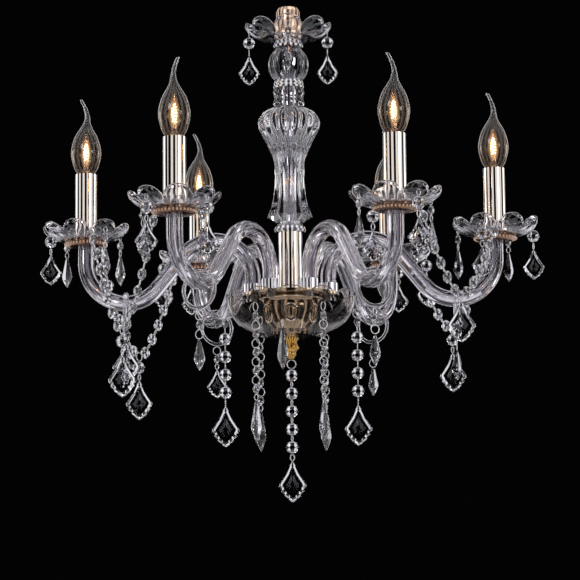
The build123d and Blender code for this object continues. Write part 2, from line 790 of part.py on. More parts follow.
# ---------------------------------------------------------------- hanging pieces
def dish_underside(radius, half_petals):
    """Height of a dish's outer wall above its underside, on a crown (even) or between (odd)."""
    rim = DISH_DIAMETER / 2
    foot = DISH_FLOOR / 2
    cut = half_petals % 2
    wall = [(foot, 0.0)]
    for up, out in CUP_SWELL:
        swell = foot + (rim - foot) * out
        wall.append((swell * (1 - DISH_GROOVE * out * cut), DISH_HEIGHT * up))
    wall.append((rim * (1 - DISH_GROOVE * cut), DISH_HEIGHT * (1 - DISH_SCALLOP * cut)))
    return level_on(wall, radius)


def level_on(profile, radius):
    """Height of a (radius, height) profile that widens upwards, at a radius."""
    for (r0, z0), (r1, z1) in zip(profile, profile[1:]):
        if r0 <= radius <= r1:
            return z0 + (z1 - z0) * (radius - r0) / (r1 - r0)
    return profile[-1][1]


def dish_hook_level(dish_bottom, half_petals=0):
    """Top of a hook that hangs under a dish's wall."""
    return dish_bottom + dish_underside(HOOK_RADIUS - WIRE / 2, half_petals) - HOOK_GAP


def dish_pendant(kind, heading):
    """One pendant of a dish: ring, octagon, ring and a crystal."""
    if kind == "leaf":
        return string_of(("hook", "octagon", "hook", "leaf"), heading)
    return string_of(("hook", "oval", "hook", "spear"))


def pendant_pair(centre, level, azimuth, kinds):
    """Two pendants on opposite sides of one dish."""
    solids = []
    for turn, kind in zip((0, 180), kinds):
        place = Pos(*centre, level) * Rot(0, 0, azimuth + turn) * Pos(HOOK_RADIUS, 0, 0)
        hung = dish_pendant(kind, azimuth + turn + 90)
        solids += [place * Rot(0, 0, 90) * solid for solid in hung]
    return solids


def candle_centre(name):
    """X and Y of a candle's axis."""
    angle = radians(arm_azimuth(name))
    return CANDLE_RADIUS * cos(angle), CANDLE_RADIUS * sin(angle)


def hoop_set(crystal, heading):
    """A glass hoop that hangs round an arm at its lowest point, with its pendant."""
    middle = (HOOP_DIAMETER - HOOP_STOCK) / 2
    inner = HOOP_DIAMETER / 2 - HOOP_STOCK
    centre = SWEEP_LEVEL + ARM_DIAMETER / 2 + HOOP_REST - inner
    hoop = Pos(0, 0, centre) * Rot(90, 0, 0) * ring_of_sides(middle, HOOP_STOCK / 2)
    foot = centre - HOOP_DIAMETER / 2 - JOIN_GAP
    return [hoop] + [Pos(0, 0, foot) * solid for solid in string_of(crystal, heading)]


def ring_of_sides(middle, stock_radius, steps=20, sides=5):
    """A glass ring about Z with a many-sided stock section."""
    rings = []
    for i in range(sides):
        angle = 2 * pi * i / sides
        radius = middle + stock_radius * cos(angle)
        rings.append(ring_points(round_section(radius), steps, stock_radius * sin(angle)))
    return cut_glass(rings, closed=True)


def swag_hook(name, half_petals):
    """The point that a swag hangs from on a dish."""
    x, y = candle_centre(name)
    angle = radians(DISH_HANGERS[name][0] + half_petals * 180 / DISH_PETALS)
    level = dish_hook_level(DISH_LEVEL, half_petals)
    return Vector(x + HOOK_RADIUS * cos(angle), y + HOOK_RADIUS * sin(angle), level)


def swag_middle(start, end, low):
    """The place of a swag's lowest ring."""
    return Vector((start.X + end.X) / 2, (start.Y + end.Y) / 2, low)


def sagging_line(run, drop, steps=120):
    """Places (across, down) along half a swag, with the distance along it to each."""
    line = [(0.0, 0.0, 0.0)]
    for i in range(1, steps + 1):
        t = i / steps
        across = run * t
        down = drop * ((1 - SWAG_SAG) * t + SWAG_SAG * (2 * t - t * t))
        line.append((across, down, line[-1][2] + hypot(across - line[-1][0], down - line[-1][1])))
    return line


def place_on(line, distance):
    """The place (across, down) at a distance along a line."""
    for (x0, z0, s0), (x1, z1, s1) in zip(line, line[1:]):
        if s0 <= distance <= s1:
            share = (distance - s0) / (s1 - s0)
            return x0 + (x1 - x0) * share, z0 + (z1 - z0) * share
    return line[-1][:2]


def swag_branch(hook, middle):
    """Octagons and pins from a hook down to the swag's lowest ring."""
    run = hypot(middle.X - hook.X, middle.Y - hook.Y) - RING_LARGE / 2 - JOIN_GAP
    line = sagging_line(run, hook.Z - middle.Z)
    length = line[-1][2]
    count = round((length - HOOK_LENGTH + PIN_LENGTH) / (OCTAGON + PIN_LENGTH))
    spare = length - HOOK_LENGTH - count * (OCTAGON + 2 * JOIN_GAP)
    pin = spare / (count - 1)
    pieces = [(link_pin(HOOK_LENGTH), HOOK_LENGTH), (octagon_bead(), OCTAGON)]
    pieces += [(link_pin(pin), pin), (octagon_bead(), OCTAGON)] * (count - 1)
    heading = degrees(atan2(middle.Y - hook.Y, middle.X - hook.X))
    place = Pos(hook.X, hook.Y, hook.Z) * Rot(0, 0, heading)
    solids = []
    start = 0.0
    for solid, size in pieces:
        x0, z0 = place_on(line, start)
        x1, z1 = place_on(line, start + size)
        lean = degrees(atan2(x1 - x0, z1 - z0))
        solids.append(place * Pos(x0, 0, -z0) * Rot(0, -lean, 0) * solid)
        start += size + JOIN_GAP
    return solids


def swag(first, first_hook, second, second_hook, low, tail_names):
    """A string of octagons between two dishes, with a leaf at its lowest point."""
    start = swag_hook(first, first_hook)
    end = swag_hook(second, second_hook)
    middle = swag_middle(start, end, low)
    solids = swag_branch(start, middle) + swag_branch(end, middle)
    heading = degrees(atan2(end.Y - start.Y, end.X - start.X))
    tail = Pos(middle.X, middle.Y, low + RING_LARGE / 2) * Rot(0, 0, heading)
    return solids + [tail * solid for solid in string_of(tail_names, heading)]


def bowl_radius(level):
    """Outer radius of the bowl at a level."""
    height = level - BOWL_BOTTOM
    steps = bowl_profile()
    for (z0, r0), (z1, r1) in zip(steps, steps[1:]):
        if z0 <= height <= z1:
            return r0 + (r1 - r0) * (height - z0) / (z1 - z0)
    return steps[-1][1]


def string_radius(level):
    """Where a ring that hangs from a level clears the bowl's wall by the hook gap."""
    radius = bowl_radius(level)
    middle = level - RING_LARGE / 2
    while min(
        hypot(radius - bowl_radius(middle + step), step) for step in range(-6, 7)
    ) < RING_LARGE / 2 + HOOK_GAP:
        radius += 0.1
    return radius


def bowl_hanging(azimuth, level, names):
    """A string on the bowl: its first ring stands edge-on to the wall."""
    place = around(azimuth, string_radius(level), level)
    first = place * link_ring(RING_LARGE)
    below = place * Pos(0, 0, -RING_LARGE - JOIN_GAP) * Rot(0, 0, 90)
    return [first] + [below * solid for solid in string_of(names, azimuth + 90)]


def bowl_string(name):
    """Octagons and a leaf at the sides of the bowl, rings and a long spear elsewhere."""
    if name in ("left", "right"):
        names = ["oval"] + ["pin", "octagon"] * 4 + ["hook", "large leaf"]
    else:
        names = ["oval", "ring"] * 4 + ["oval", "hook", "long spear"]
    return bowl_hanging(arm_azimuth(name), BOWL_HOOK_LEVEL, names)


def front_drop():
    """The long spear on the front of the bowl."""
    return bowl_hanging(FRONT_DROP_AZIMUTH, FRONT_DROP_LEVEL, ["long spear"])


def centre_string():
    """The long string under the finial."""
    names = ["ring", "octagon"] + ["pin", "octagon"] * 4 + ["hook", "large leaf"]
    return [Pos(0, 0, FINIAL_BOTTOM - JOIN_GAP) * solid for solid in string_of(names)]


HOOP_CRYSTALS = {
    "right": ("hook", "oval", "ring", "spear"),
    "rear_right": ("hook", "oval", "ring", "spear"),
    "rear_left": ("ring", "oval", "hook", "leaf"),
    "left": ("oval", "pin", "large leaf"),
    "front_left": ("ring", "oval", "ring", "spear"),
    "front_right": ("hook", "oval", "ring", "spear"),
}


# ---------------------------------------------------------------- assembly
def build_nodes():
    """Every node's solids by name."""
    nodes = {
        "stem_cap": stem_cap(),
        "top_dish": top_dish(),
        "column_collars": column_collars(),
        "ribbed_ball": ribbed_ball(),
        "spool_bead": spool_bead(),
        "vase": vase(),
        "column_tube": column_tube(),
        "centre_pipe": centre_pipe(),
        "arm_plate": arm_plate(),
        "hub_cup": hub_cup(),
        "terminal_block": terminal_block(),
        "glass_bowl": glass_bowl(),
        "finial": finial(),
        "glass_arms": at_arms(glass_arm(), 0),
        "arm_ferrules": at_arms(arm_ferrule(), LEG_RADIUS),
        "arm_screws": at_arms(arm_screw(), LEG_RADIUS),
        "candle_pans": at_arms(candle_pan(), CANDLE_RADIUS),
        "candle_dishes": candle_dishes(),
        "lamp_holders": at_arms(lamp_holder(), CANDLE_RADIUS),
        "candle_sleeves": at_arms(candle_sleeve(), CANDLE_RADIUS),
    }
    for name in ARM_NAMES:
        place = around(arm_azimuth(name), CANDLE_RADIUS, SLEEVE_TOP + FIT)
        tip = Rot(0, 0, BULB_TIPS[name] - arm_azimuth(name))
        nodes[f"bulb_{name}"] = [place * tip * solid for solid in bulb()]
        under = around(arm_azimuth(name), SWEEP_RADIUS) * Rot(0, 0, 90)
        nodes[f"hoop_{name}"] = [
            under * solid for solid in hoop_set(HOOP_CRYSTALS[name], arm_azimuth(name) + 90)
        ]
        turn, kinds = DISH_HANGERS[name]
        level = dish_hook_level(DISH_LEVEL)
        centre = candle_centre(name)
        for pair, quarter in (("a", 0), ("b", 90)):
            both = (kinds[quarter // 90], kinds[quarter // 90 + 2])
            solids = pendant_pair(centre, level, turn + quarter, both)
            nodes[f"pendants_{name}_{pair}"] = solids
    turn, kinds = TOP_HANGERS
    level = dish_hook_level(TOP_DISH_BOTTOM)
    for pair, quarter in (("a", 0), ("b", 90)):
        both = (kinds[quarter // 90], kinds[quarter // 90 + 2])
        nodes[f"pendants_top_{pair}"] = pendant_pair((0, 0), level, turn + quarter, both)
    for name, plan in SWAGS.items():
        nodes[name] = swag(*plan, SWAG_TAILS[name])
    for name in BOWL_STRINGS:
        nodes[f"bowl_string_{name}"] = bowl_string(name)
    nodes["front_drop"] = front_drop()
    nodes["centre_string"] = centre_string()
    return nodes


def as_solids(shape):
    """The single solids of a shape or of a list of shapes."""
    if isinstance(shape, list):
        return [solid for item in shape for solid in item.solids()]
    return shape.solids()


def main():
    os.makedirs("parts", exist_ok=True)
    for name, shape in build_nodes().items():
        solids = as_solids(shape)
        export_step(Compound(label=name, children=solids), f"parts/{name}.step")
        print(name, len(solids))


main()
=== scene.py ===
"""Looks of a six-light crystal chandelier: cut glass, gilt metal and lit flame lamps."""
import bpy
import bmesh
import json
from math import acos, atan2, cos, degrees, hypot, pi, radians, sin
from mathutils import Matrix, Vector
from bpy.props import FloatProperty, FloatVectorProperty, IntProperty, PointerProperty
from bpy.types import Operator, Panel, PropertyGroup


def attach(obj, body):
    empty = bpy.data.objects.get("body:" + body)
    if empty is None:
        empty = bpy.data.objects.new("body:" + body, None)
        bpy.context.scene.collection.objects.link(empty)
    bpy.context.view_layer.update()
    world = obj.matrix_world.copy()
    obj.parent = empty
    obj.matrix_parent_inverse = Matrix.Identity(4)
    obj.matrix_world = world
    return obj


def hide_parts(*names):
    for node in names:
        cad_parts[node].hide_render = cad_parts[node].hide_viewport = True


bl_info = {
    "name": "Crystal Chandelier",
    "version": (1, 0, 0),
    "blender": (4, 5, 0),
    "location": "3D View > Sidebar > Chandelier",
    "description": "Dresses the chandelier's frame in cut glass, gilt and light",
    "category": "Object",
}

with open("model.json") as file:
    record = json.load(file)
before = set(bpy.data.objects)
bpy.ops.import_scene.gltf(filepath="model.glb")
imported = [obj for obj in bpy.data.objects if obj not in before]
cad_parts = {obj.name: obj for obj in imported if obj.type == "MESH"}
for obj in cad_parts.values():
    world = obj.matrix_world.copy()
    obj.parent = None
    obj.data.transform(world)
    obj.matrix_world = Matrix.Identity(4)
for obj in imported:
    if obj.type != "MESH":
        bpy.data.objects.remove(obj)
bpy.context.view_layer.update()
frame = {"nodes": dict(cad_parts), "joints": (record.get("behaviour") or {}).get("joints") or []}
JOINTS = {joint["child"]: joint for joint in frame["joints"]}
ROOT = "fixture"
MM = 0.001

# ------------------------------------------------------------ sizes shared with the frame, in mm
ARM_NAMES = ("right", "rear_right", "rear_left", "left", "front_left", "front_right")
ARM_TURN = -1.5
CANDLE_RADIUS = 233.0
LEG_RADIUS = 43.0
HUMP_BEND = 44.0
PEAK_LEVEL = -270.0
SWEEP_BEND = 46.0
SWEEP_LEVEL = -341.0
ARM_DIAMETER = 18.0
ARM_FOOT = -329.0
PAN_BOTTOM = -275.0
DISH_LEVEL = -269.5
TOP_DISH_BOTTOM = -37.0
BOWL_BOTTOM = -383.0
HUB_CUP_BOTTOM = -379.0
VASE_BOTTOM = -256.0
BALL_BOTTOM = -86.5
BEAD_BOTTOM = -117.0
FINIAL_HEIGHT = 24.0
SLEEVE_TOP = -191.5
BULB_HEIGHT = 88.0
BULB_LEAN = 6.0          # how far a lamp's bent tip stands off its axis
OCTAGON = 14.5
JOIN_GAP = 0.2
RING_LARGE = 11.0
HOOK_LENGTH = 8.0
PIN_LENGTH = 5.4
PIN_OVERLAP = 1.4        # how much longer a pin is drawn, to reach into its neighbours
PIN_WIDTH = 3.0
HOOK_WIDTH = 5.6
HOOK_RADIUS = 45.0
DISH_PETALS = 8
HOOP_DIAMETER = 44.0
HOOP_STOCK = 4.2
SWAG_SAG = 0.45
ODD_HOOK_DROP = 1.79      # how much lower a hook between two petals is than one on a petal
HEIGHTS = {
    "ring": RING_LARGE, "hook": HOOK_LENGTH, "pin": PIN_LENGTH, "octagon": OCTAGON, "oval": 9.0,
    "leaf": 34.0, "large leaf": 46.0, "spear": 33.0, "long spear": 46.0,
}
WIDTHS = {"oval": 8.0, "leaf": 24.0, "large leaf": 31.0, "spear": 12.0, "long spear": 12.0}
DISH_CRYSTALS = {
    "right": ("spear", "spear", "leaf", "leaf"),
    "rear_right": ("leaf", "spear", "spear", "leaf"),
    "rear_left": ("spear", "leaf", "leaf", "spear"),
    "left": ("spear", "spear", "leaf", "spear"),
    "front_left": ("spear", "spear", "leaf", "leaf"),
    "front_right": ("spear", "leaf", "spear", "leaf"),
    "top": ("leaf", "spear", "leaf", "spear"),
}
SWAGS = {
    "swag_front_left": ("left", 11, "front_left", 3, -384.0),
    "swag_rear_left": ("left", 2, "rear_left", 10, -390.0),
    "swag_rear_right": ("right", 1, "rear_right", 10, -362.0),
    "swag_front_right": ("right", 9, "front_right", 1, -352.0),
}
SWAG_TAILS = {
    "swag_front_left": ("ring", "octagon", "hook", "large leaf"),
    "swag_rear_left": ("ring", "octagon", "hook", "large leaf"),
    "swag_rear_right": ("ring", "octagon", "hook", "large leaf"),
    "swag_front_right": ("ring", "large leaf"),
}
FACING_FRONT = ("octagon", "leaf", "large leaf")
BULB_TIPS = {"front_left": 45.0}      # azimuth a lamp's tip leans to; the others lean to 180
HOOP_CRYSTALS = {
    "right": ("hook", "oval", "ring", "spear"),
    "rear_right": ("hook", "oval", "ring", "spear"),
    "rear_left": ("ring", "oval", "hook", "leaf"),
    "left": ("oval", "pin", "large leaf"),
    "front_left": ("ring", "oval", "ring", "spear"),
    "front_right": ("hook", "oval", "ring", "spear"),
}


# ------------------------------------------------------------ settings
def colour_setting(name, description, default):
    """A colour that the user can change."""
    return FloatVectorProperty(
        name=name, description=description, subtype="COLOR", size=3, min=0, max=1, default=default)


class ChandelierSettings(PropertyGroup):
    """Sizes and colours of the chandelier's looks."""

    crystal_colour: colour_setting(
        "Crystal colour", "Tint of the hanging crystals", (0.95, 0.945, 0.985))
    arm_colour: colour_setting(
        "Arm colour", "Tint of the glass arms and hoops", (0.94, 0.915, 0.965))
    cup_colour: colour_setting(
        "Cup colour", "Tint of the flower cups and the column's glass",
        (0.92, 0.91, 0.955))
    gilt_colour: colour_setting("Gilt colour", "Colour of the gilt metal", (0.86, 0.60, 0.42))
    champagne_colour: colour_setting(
        "Champagne colour", "Colour of the polished tubes", (0.96, 0.87, 0.76))
    glow_colour: colour_setting("Glow colour", "Colour of the lit filaments", (1.0, 0.56, 0.20))
    glow_strength: FloatProperty(
        name="Glow strength", description="Light of the filaments", min=0, default=9.0)
    backdrop_colour: colour_setting(
        "Backdrop colour", "Colour of the dark backdrop", (0.001, 0.001, 0.001))
    room_colour: colour_setting(
        "Room colour", "Colour of the floor and of the light from all round", (0.72, 0.72, 0.74))
    rib_depth: FloatProperty(
        name="Rib depth", description="Depth of the grooves along the arms, in mm",
        min=0.2, max=2.0, default=1.7)
    wire: FloatProperty(
        name="Wire", description="Thickness of the wire links, in mm", min=0.4, max=1.4,
        default=1.1)
    pan_beads: IntProperty(
        name="Pan beads", description="Beads round the rim of each candle pan", min=12, max=72,
        default=36)


def settings():
    """The scene's chandelier settings."""
    return bpy.context.scene.chandelier


# ------------------------------------------------------------ shader maths
class Value:
    """A socket of a finish that can be used in sums."""

    def __init__(self, finish, socket):
        self.finish = finish
        self.socket = socket

    def sum_with(self, operation, first, second):
        """One Math node on two values."""
        return self.finish.node("Math", {"operation": operation}, [first, second])

    def __add__(self, other):
        return self.sum_with("ADD", self, other)

    def __sub__(self, other):
        return self.sum_with("SUBTRACT", self, other)

    def __mul__(self, other):
        return self.sum_with("MULTIPLY", self, other)

    __radd__ = __add__
    __rmul__ = __mul__


class Finish:
    """A node material under construction."""

    def __init__(self, name, tree=None):
        if tree is None:
            self.material = bpy.data.materials.new(name)
            self.material.use_nodes = True
            tree = self.material.node_tree
        self.tree = tree
        self.tree.nodes.clear()

    def node(self, kind, options=None, inputs=(), output=0):
        """Add a shader node: its settings first, then its sockets by place or by name."""
        made = self.tree.nodes.new("ShaderNode" + kind)
        for key, option in (options or {}).items():
            if key == "stops":
                for index, (place, colour) in enumerate(option):
                    stops = made.color_ramp.elements
                    stop = stops[index] if index < 2 else stops.new(place)
                    stop.position = place
                    stop.color = (*colour, 1)
            else:
                setattr(made, key, option)
        pairs = inputs.items() if isinstance(inputs, dict) else enumerate(inputs)
        for key, value in pairs:
            if isinstance(value, Value):
                self.tree.links.new(value.socket, made.inputs[key])
            elif value is not None:
                made.inputs[key].default_value = value
        return Value(self, made.outputs[output]) if made.outputs else made

    def place(self):
        """Object coordinates."""
        return self.node("TexCoord", output="Object")

    def noise(self, size_mm, detail=2.0):
        """Cloudy values from 0 to 1 with features of a size."""
        return self.node("TexNoise", inputs={
            "Vector": self.place(), "Scale": 1 / (size_mm * MM), "Detail": detail})

    def between(self, factor, first, second):
        """A colour between two colours."""
        ends = [end if isinstance(end, Value) else (*end, 1) for end in (first, second)]
        return self.node(
            "Mix", {"data_type": "RGBA"}, {0: factor, 6: ends[0], 7: ends[1]}, output=2)

    def bump(self, height, strength, distance_mm=0.2):
        """A normal from a height."""
        return self.node(
            "Bump", inputs={"Height": height, "Strength": strength, "Distance": distance_mm * MM})

    def up_the_lamp(self, stops):
        """A colour that follows the height, from 0 at a lamp's foot to 1 at its tip."""
        height = self.node("SeparateXYZ", inputs=[self.place()], output=2)
        up = (height - SLEEVE_TOP * MM) * (1 / (BULB_HEIGHT * MM))
        return self.node("ValToRGB", {"stops": stops}, [up])

    def surface(self, shader):
        """End the material with a shader."""
        self.node("OutputMaterial", inputs={"Surface": shader})
        return self.material


def shade(colour, share):
    """A colour made darker or paler by a share."""
    return tuple(min(1.0, part * share) for part in colour)


def glass_finish(name, colour, wave_mm, wave_strength, ior=1.52):
    """Clear glass with a cloudy tint and a faintly wavy skin; lamp light passes through it."""
    finish = Finish(name)
    cloud = finish.noise(wave_mm * 3)
    tint = finish.between(cloud, shade(colour, 0.96), shade(colour, 1.03))
    skin = finish.bump(finish.noise(wave_mm, 1.0), wave_strength)
    glass = finish.node("BsdfPrincipled", inputs={
        "Base Color": tint, "Roughness": 0.015, "IOR": ior, "Transmission Weight": 1.0,
        "Normal": skin})
    clear = finish.node("BsdfTransparent", inputs={"Color": (*shade(colour, 0.95), 1)})
    ray = finish.node("LightPath", output="Is Shadow Ray")
    return finish.surface(finish.node("MixShader", inputs=[ray * 0.85, glass, clear]))


def metal_finish(name, colour, roughness, streak_mm=6.0, dark=0.88):
    """Polished metal with faint tarnish and a soft change of gloss."""
    finish = Finish(name)
    cloud = finish.noise(streak_mm, 4.0)
    tint = finish.between(cloud, shade(colour, dark), colour)
    gloss = finish.noise(streak_mm * 0.4, 3.0) * roughness + roughness * 0.5
    skin = finish.bump(finish.noise(1.1, 2.0), 0.05, 0.05)
    return finish.surface(finish.node("BsdfPrincipled", inputs={
        "Base Color": tint, "Metallic": 1.0, "Roughness": gloss, "Normal": skin}))


def plain_finish(name, colour, roughness):
    """Moulded plastic with a fine grain."""
    finish = Finish(name)
    grain = finish.noise(0.8, 3.0)
    tint = finish.between(grain, shade(colour, 0.93), colour)
    return finish.surface(finish.node("BsdfPrincipled", inputs={
        "Base Color": tint, "Roughness": grain * 0.15 + roughness,
        "Normal": finish.bump(grain, 0.12, 0.1)}))


def bulb_glass_finish():
    """Thin glass with a painted amber glow where the filament lights it, deepest at the foot and
    clear towards the tip.
    """
    finish = Finish("lamp_glass_painted_glow")
    # painted amber glow of the filament on the glass: deepest at the lamp's foot, fading to clear
    # above
    tint = finish.up_the_lamp((
        (0.0, (0.60, 0.44, 0.34)), (0.75, (0.98, 0.97, 0.97)), (0.22, (0.93, 0.76, 0.60)),
        (0.45, (0.97, 0.90, 0.83))))
    glass = finish.node("BsdfPrincipled", inputs={
        "Base Color": tint, "Roughness": 0.09, "IOR": 1.45, "Transmission Weight": 1.0})
    clear = finish.node("BsdfTransparent", inputs=[(1.0, 0.95, 0.88, 1)])
    ray = finish.node("LightPath", output="Is Shadow Ray")
    return finish.surface(finish.node("MixShader", inputs=[ray, glass, clear]))


def filament_finish():
    """A white-hot wire."""
    finish = Finish("filament")
    hot = finish.noise(1.5)
    glow = finish.between(hot, settings().glow_colour, (1.0, 0.80, 0.50))
    return finish.surface(finish.node("BsdfPrincipled", inputs={
        "Base Color": (0.2, 0.1, 0.05, 1), "Emission Color": glow,
        "Emission Strength": settings().glow_strength * 4}))


def halo_finish(share):
    """One shell of the soft light round a filament, yellow below and red above."""
    finish = Finish("filament_glow")
    tint = finish.up_the_lamp((
        (0.12, (1.0, 0.86, 0.60)), (0.52, (0.40, 0.12, 0.04)), (0.30, (1.0, 0.66, 0.34))))
    glow = finish.node("BsdfPrincipled", inputs={
        "Base Color": (0.0, 0.0, 0.0, 1.0), "Roughness": 1.0, "Specular IOR Level": 0.0,
        "Emission Color": tint, "Emission Strength": settings().glow_strength * 0.15})
    clear = finish.node("BsdfTransparent", inputs=[(1, 1, 1, 1)])
    return finish.surface(finish.node("MixShader", inputs=[share, clear, glow]))


FINISHES = {
    "crystal": lambda: glass_finish("crystal_clear", settings().crystal_colour, 9.0, 0.02, 1.56),
    "arm glass": lambda: glass_finish("arm_glass", settings().arm_colour, 7.0, 0.02, 1.47),
    "bowl glass": lambda: glass_finish("bowl_glass", (0.90, 0.85, 0.82), 12.0, 0.0, 1.17),
    "cup glass": lambda: glass_finish("cup_glass", settings().cup_colour, 8.0, 0.05),
    "gilt": lambda: metal_finish("rose_gilt", settings().gilt_colour, 0.16),
    "deep gilt": lambda: metal_finish("deep_gilt", (0.40, 0.21, 0.12), 0.2, 2.0, 0.4),
    "amber gilt": lambda: metal_finish("amber_gilt", (0.95, 0.55, 0.14), 0.12, 2.0, 0.5),
    "champagne": lambda: metal_finish(
        "champagne_mirror", settings().champagne_colour, 0.06, 20.0, 0.95),
    "bronze": lambda: metal_finish("bronze_mirror", (0.64, 0.50, 0.34), 0.12, 9.0, 0.4),
    "chrome": lambda: metal_finish("bright_chrome_polish", (0.87, 0.86, 0.88), 0.10),
    "steel": lambda: metal_finish("zinc_steel", (0.58, 0.58, 0.60), 0.3),
    "plastic": lambda: plain_finish("white_moulding", (0.88, 0.86, 0.81), 0.4),
    "lead": lambda: plain_finish("clear_lead", (0.34, 0.32, 0.38), 0.35),
    "bulb glass": bulb_glass_finish,
    "filament": filament_finish,
    "outer glow": lambda: halo_finish(0.06),
    "middle glow": lambda: halo_finish(0.16),
    "inner glow": lambda: halo_finish(0.36),
}
made_finishes = {}


def finish_of(name):
    """A finish by its name, made once."""
    if name not in made_finishes:
        made_finishes[name] = FINISHES[name]()
    return made_finishes[name]


# ------------------------------------------------------------ basic forms, in mm
class Shape:
    """Corners and faces, each face with a finish, gathered into one piece."""

    def __init__(self):
        self.corners = []
        self.faces = []
        self.finishes = []
        self.names = []

    def add(self, form, finish, place=None):
        """Add a form (corners, faces) in a finish, moved to a place."""
        corners, faces = form
        if finish not in self.names:
            self.names.append(finish)
        start = len(self.corners)
        self.corners += [place @ Vector(c) for c in corners] if place else corners
        self.faces += [[start + i for i in face] for face in faces]
        self.finishes += [self.names.index(finish)] * len(faces)

    def piece(self, name, body, nodes, slot, sharp=32.0):
        """Make the object, ride it on its body and let it stand for its nodes."""
        mesh = bpy.data.meshes.new(name)
        mesh.from_pydata([Vector(c) * MM for c in self.corners], [], self.faces)
        mesh.polygons.foreach_set("material_index", self.finishes)
        for finish in self.names:
            mesh.materials.append(finish_of(finish))
        work = bmesh.new()
        work.from_mesh(mesh)
        bmesh.ops.recalc_face_normals(work, faces=work.faces)
        work.to_mesh(mesh)
        work.free()
        mesh.set_sharp_from_angle(angle=radians(sharp))
        mesh.polygons.foreach_set(
            "use_smooth", [self.names[finish] != "crystal" for finish in self.finishes])
        obj = bpy.data.objects.new(name, mesh)
        bpy.context.scene.collection.objects.link(obj)
        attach(obj, body)
        if nodes:
            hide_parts(*nodes)
        return obj


def loft(rings, closed=False):
    """Faces between rings of corners, with an end face on each end or closed on itself."""
    count = len(rings[0])
    corners = [corner for ring in rings for corner in ring]
    faces = []
    for k in range(len(rings) if closed else len(rings) - 1):
        low, high = k * count, (k + 1) % len(rings) * count
        for i in range(count):
            j = (i + 1) % count
            faces.append([low + i, low + j, high + j, high + i])
    if not closed:
        faces.append(list(range(count))[::-1])
        faces.append([len(corners) - count + i for i in range(count)])
    return corners, faces


def circle(radius_at, sides, level_at, shift=(0, 0)):
    """Corners round Z; the radius and the level may follow the angle."""
    corners = []
    for i in range(sides):
        angle = 2 * pi * i / sides
        radius = radius_at(angle) if callable(radius_at) else radius_at
        level = level_at(angle) if callable(level_at) else level_at
        corners.append((radius * cos(angle) + shift[0], radius * sin(angle) + shift[1], level))
    return corners


def turned(profile, sides=48, closed=False):
    """A body of revolution from (radius, level) points."""
    return loft([circle(radius, sides, level) for radius, level in profile], closed)


def smooth_points(points, steps=6):
    """Points on a smooth curve through the given ones."""
    out = []
    ends = [points[0], *points, points[-1]]
    for a, b, c, d in zip(ends, ends[1:], ends[2:], ends[3:]):
        for k in range(steps):
            t = k / steps
            out.append(tuple(
                0.5 * (2 * q + (r - p) * t + (2 * p - 5 * q + 4 * r - s) * t * t
                       + (3 * q - p - 3 * r + s) * t ** 3)
                for p, q, r, s in zip(a, b, c, d)))
    return [*out, points[-1]]


def lobes(angle, count):
    """1 on each lobe's crown and 0 in each groove."""
    return abs(cos(count * angle / 2))


def petal_rise(angle, count):
    """1 along the round crown of each petal, falling steeply to 0 between petals."""
    step = 2 * pi / count
    off = abs((angle + step / 2) % step - step / 2) / (step / 2)
    return 1 - off ** 2.6


def torus(radius, stock, steps=40, sides=10, stretch=1.0):
    """A ring in the XZ plane round the origin; stretch makes it taller."""
    rings = []
    for i in range(steps):
        angle = 2 * pi * i / steps
        ring = []
        for k in range(sides):
            about = 2 * pi * k / sides
            out = radius + stock * cos(about)
            ring.append((out * cos(angle), stock * sin(about),
                         (radius * stretch + stock * cos(about)) * sin(angle)))
        rings.append(ring)
    return loft(rings, closed=True)


def swept(points, radius, sides=8):
    """A round rod along points in space."""
    points = [Vector(p) for p in points]
    rings = []
    side = None
    for i, point in enumerate(points):
        ahead = (points[min(i + 1, len(points) - 1)] - points[max(i - 1, 0)]).normalized()
        side = ahead.orthogonal() if side is None else side - ahead * side.dot(ahead)
        side.normalize()
        over = ahead.cross(side)
        rings.append([
            point + (side * cos(2 * pi * k / sides) + over * sin(2 * pi * k / sides)) * radius
            for k in range(sides)])
    return loft(rings)


def move(x=0, y=0, z=0):
    """A shift in space."""
    return Matrix.Translation((x, y, z))


def turn(degrees_, axis="Z"):
    """A turn about an axis."""
    return Matrix.Rotation(radians(degrees_), 4, axis)


def joint_point(body):
    """Where a body's joint stands."""
    return Vector(JOINTS[body]["pos_m"]) / MM


def joint_azimuth(body):
    """Azimuth of a body's joint axis in degrees."""
    axis = JOINTS[body]["axis"]
    return degrees(atan2(axis[1], axis[0]))


def arm_azimuth(name):
    """Azimuth of one arm in degrees."""
    return ARM_TURN + ARM_NAMES.index(name) * 60


def candle_place(name, level=0.0):
    """The place of a candle, its X axis pointing outwards."""
    return turn(arm_azimuth(name)) @ move(CANDLE_RADIUS, 0, level)


# ------------------------------------------------------------ crystals and links under Z = 0
def facet_bands(rings):
    """Triangles between rings that stand half a step apart, with a table on each end."""
    count = len(rings[0])
    corners = [corner for ring in rings for corner in ring]
    faces = [list(range(count)), [len(corners) - count + i for i in range(count)]]
    for k in range(len(rings) - 1):
        low, high, lag = k * count, (k + 1) * count, k % 2
        for i in range(count):
            j = (i + 1) % count
            if lag:
                faces += [[low + i, low + j, high + j], [low + i, high + j, high + i]]
            else:
                faces += [[low + i, low + j, high + i], [low + j, high + j, high + i]]
    return corners, faces


def octagon_bead():
    """A flat bead cut to an eight-sided table inside two rows of kite facets."""
    radius, half = OCTAGON / 2, 3.6
    rings = []
    for k, (share, depth) in enumerate(
            ((0.30, -1), (0.80, -0.62), (1.0, 0.0), (0.80, 0.62), (0.30, 1))):
        lag = k % 2 * pi / 8
        rings.append([
            (share * radius * cos(pi * i / 4 + lag), depth * half,
             share * radius * sin(pi * i / 4 + lag) - radius) for i in range(8)])
    return facet_bands(rings)


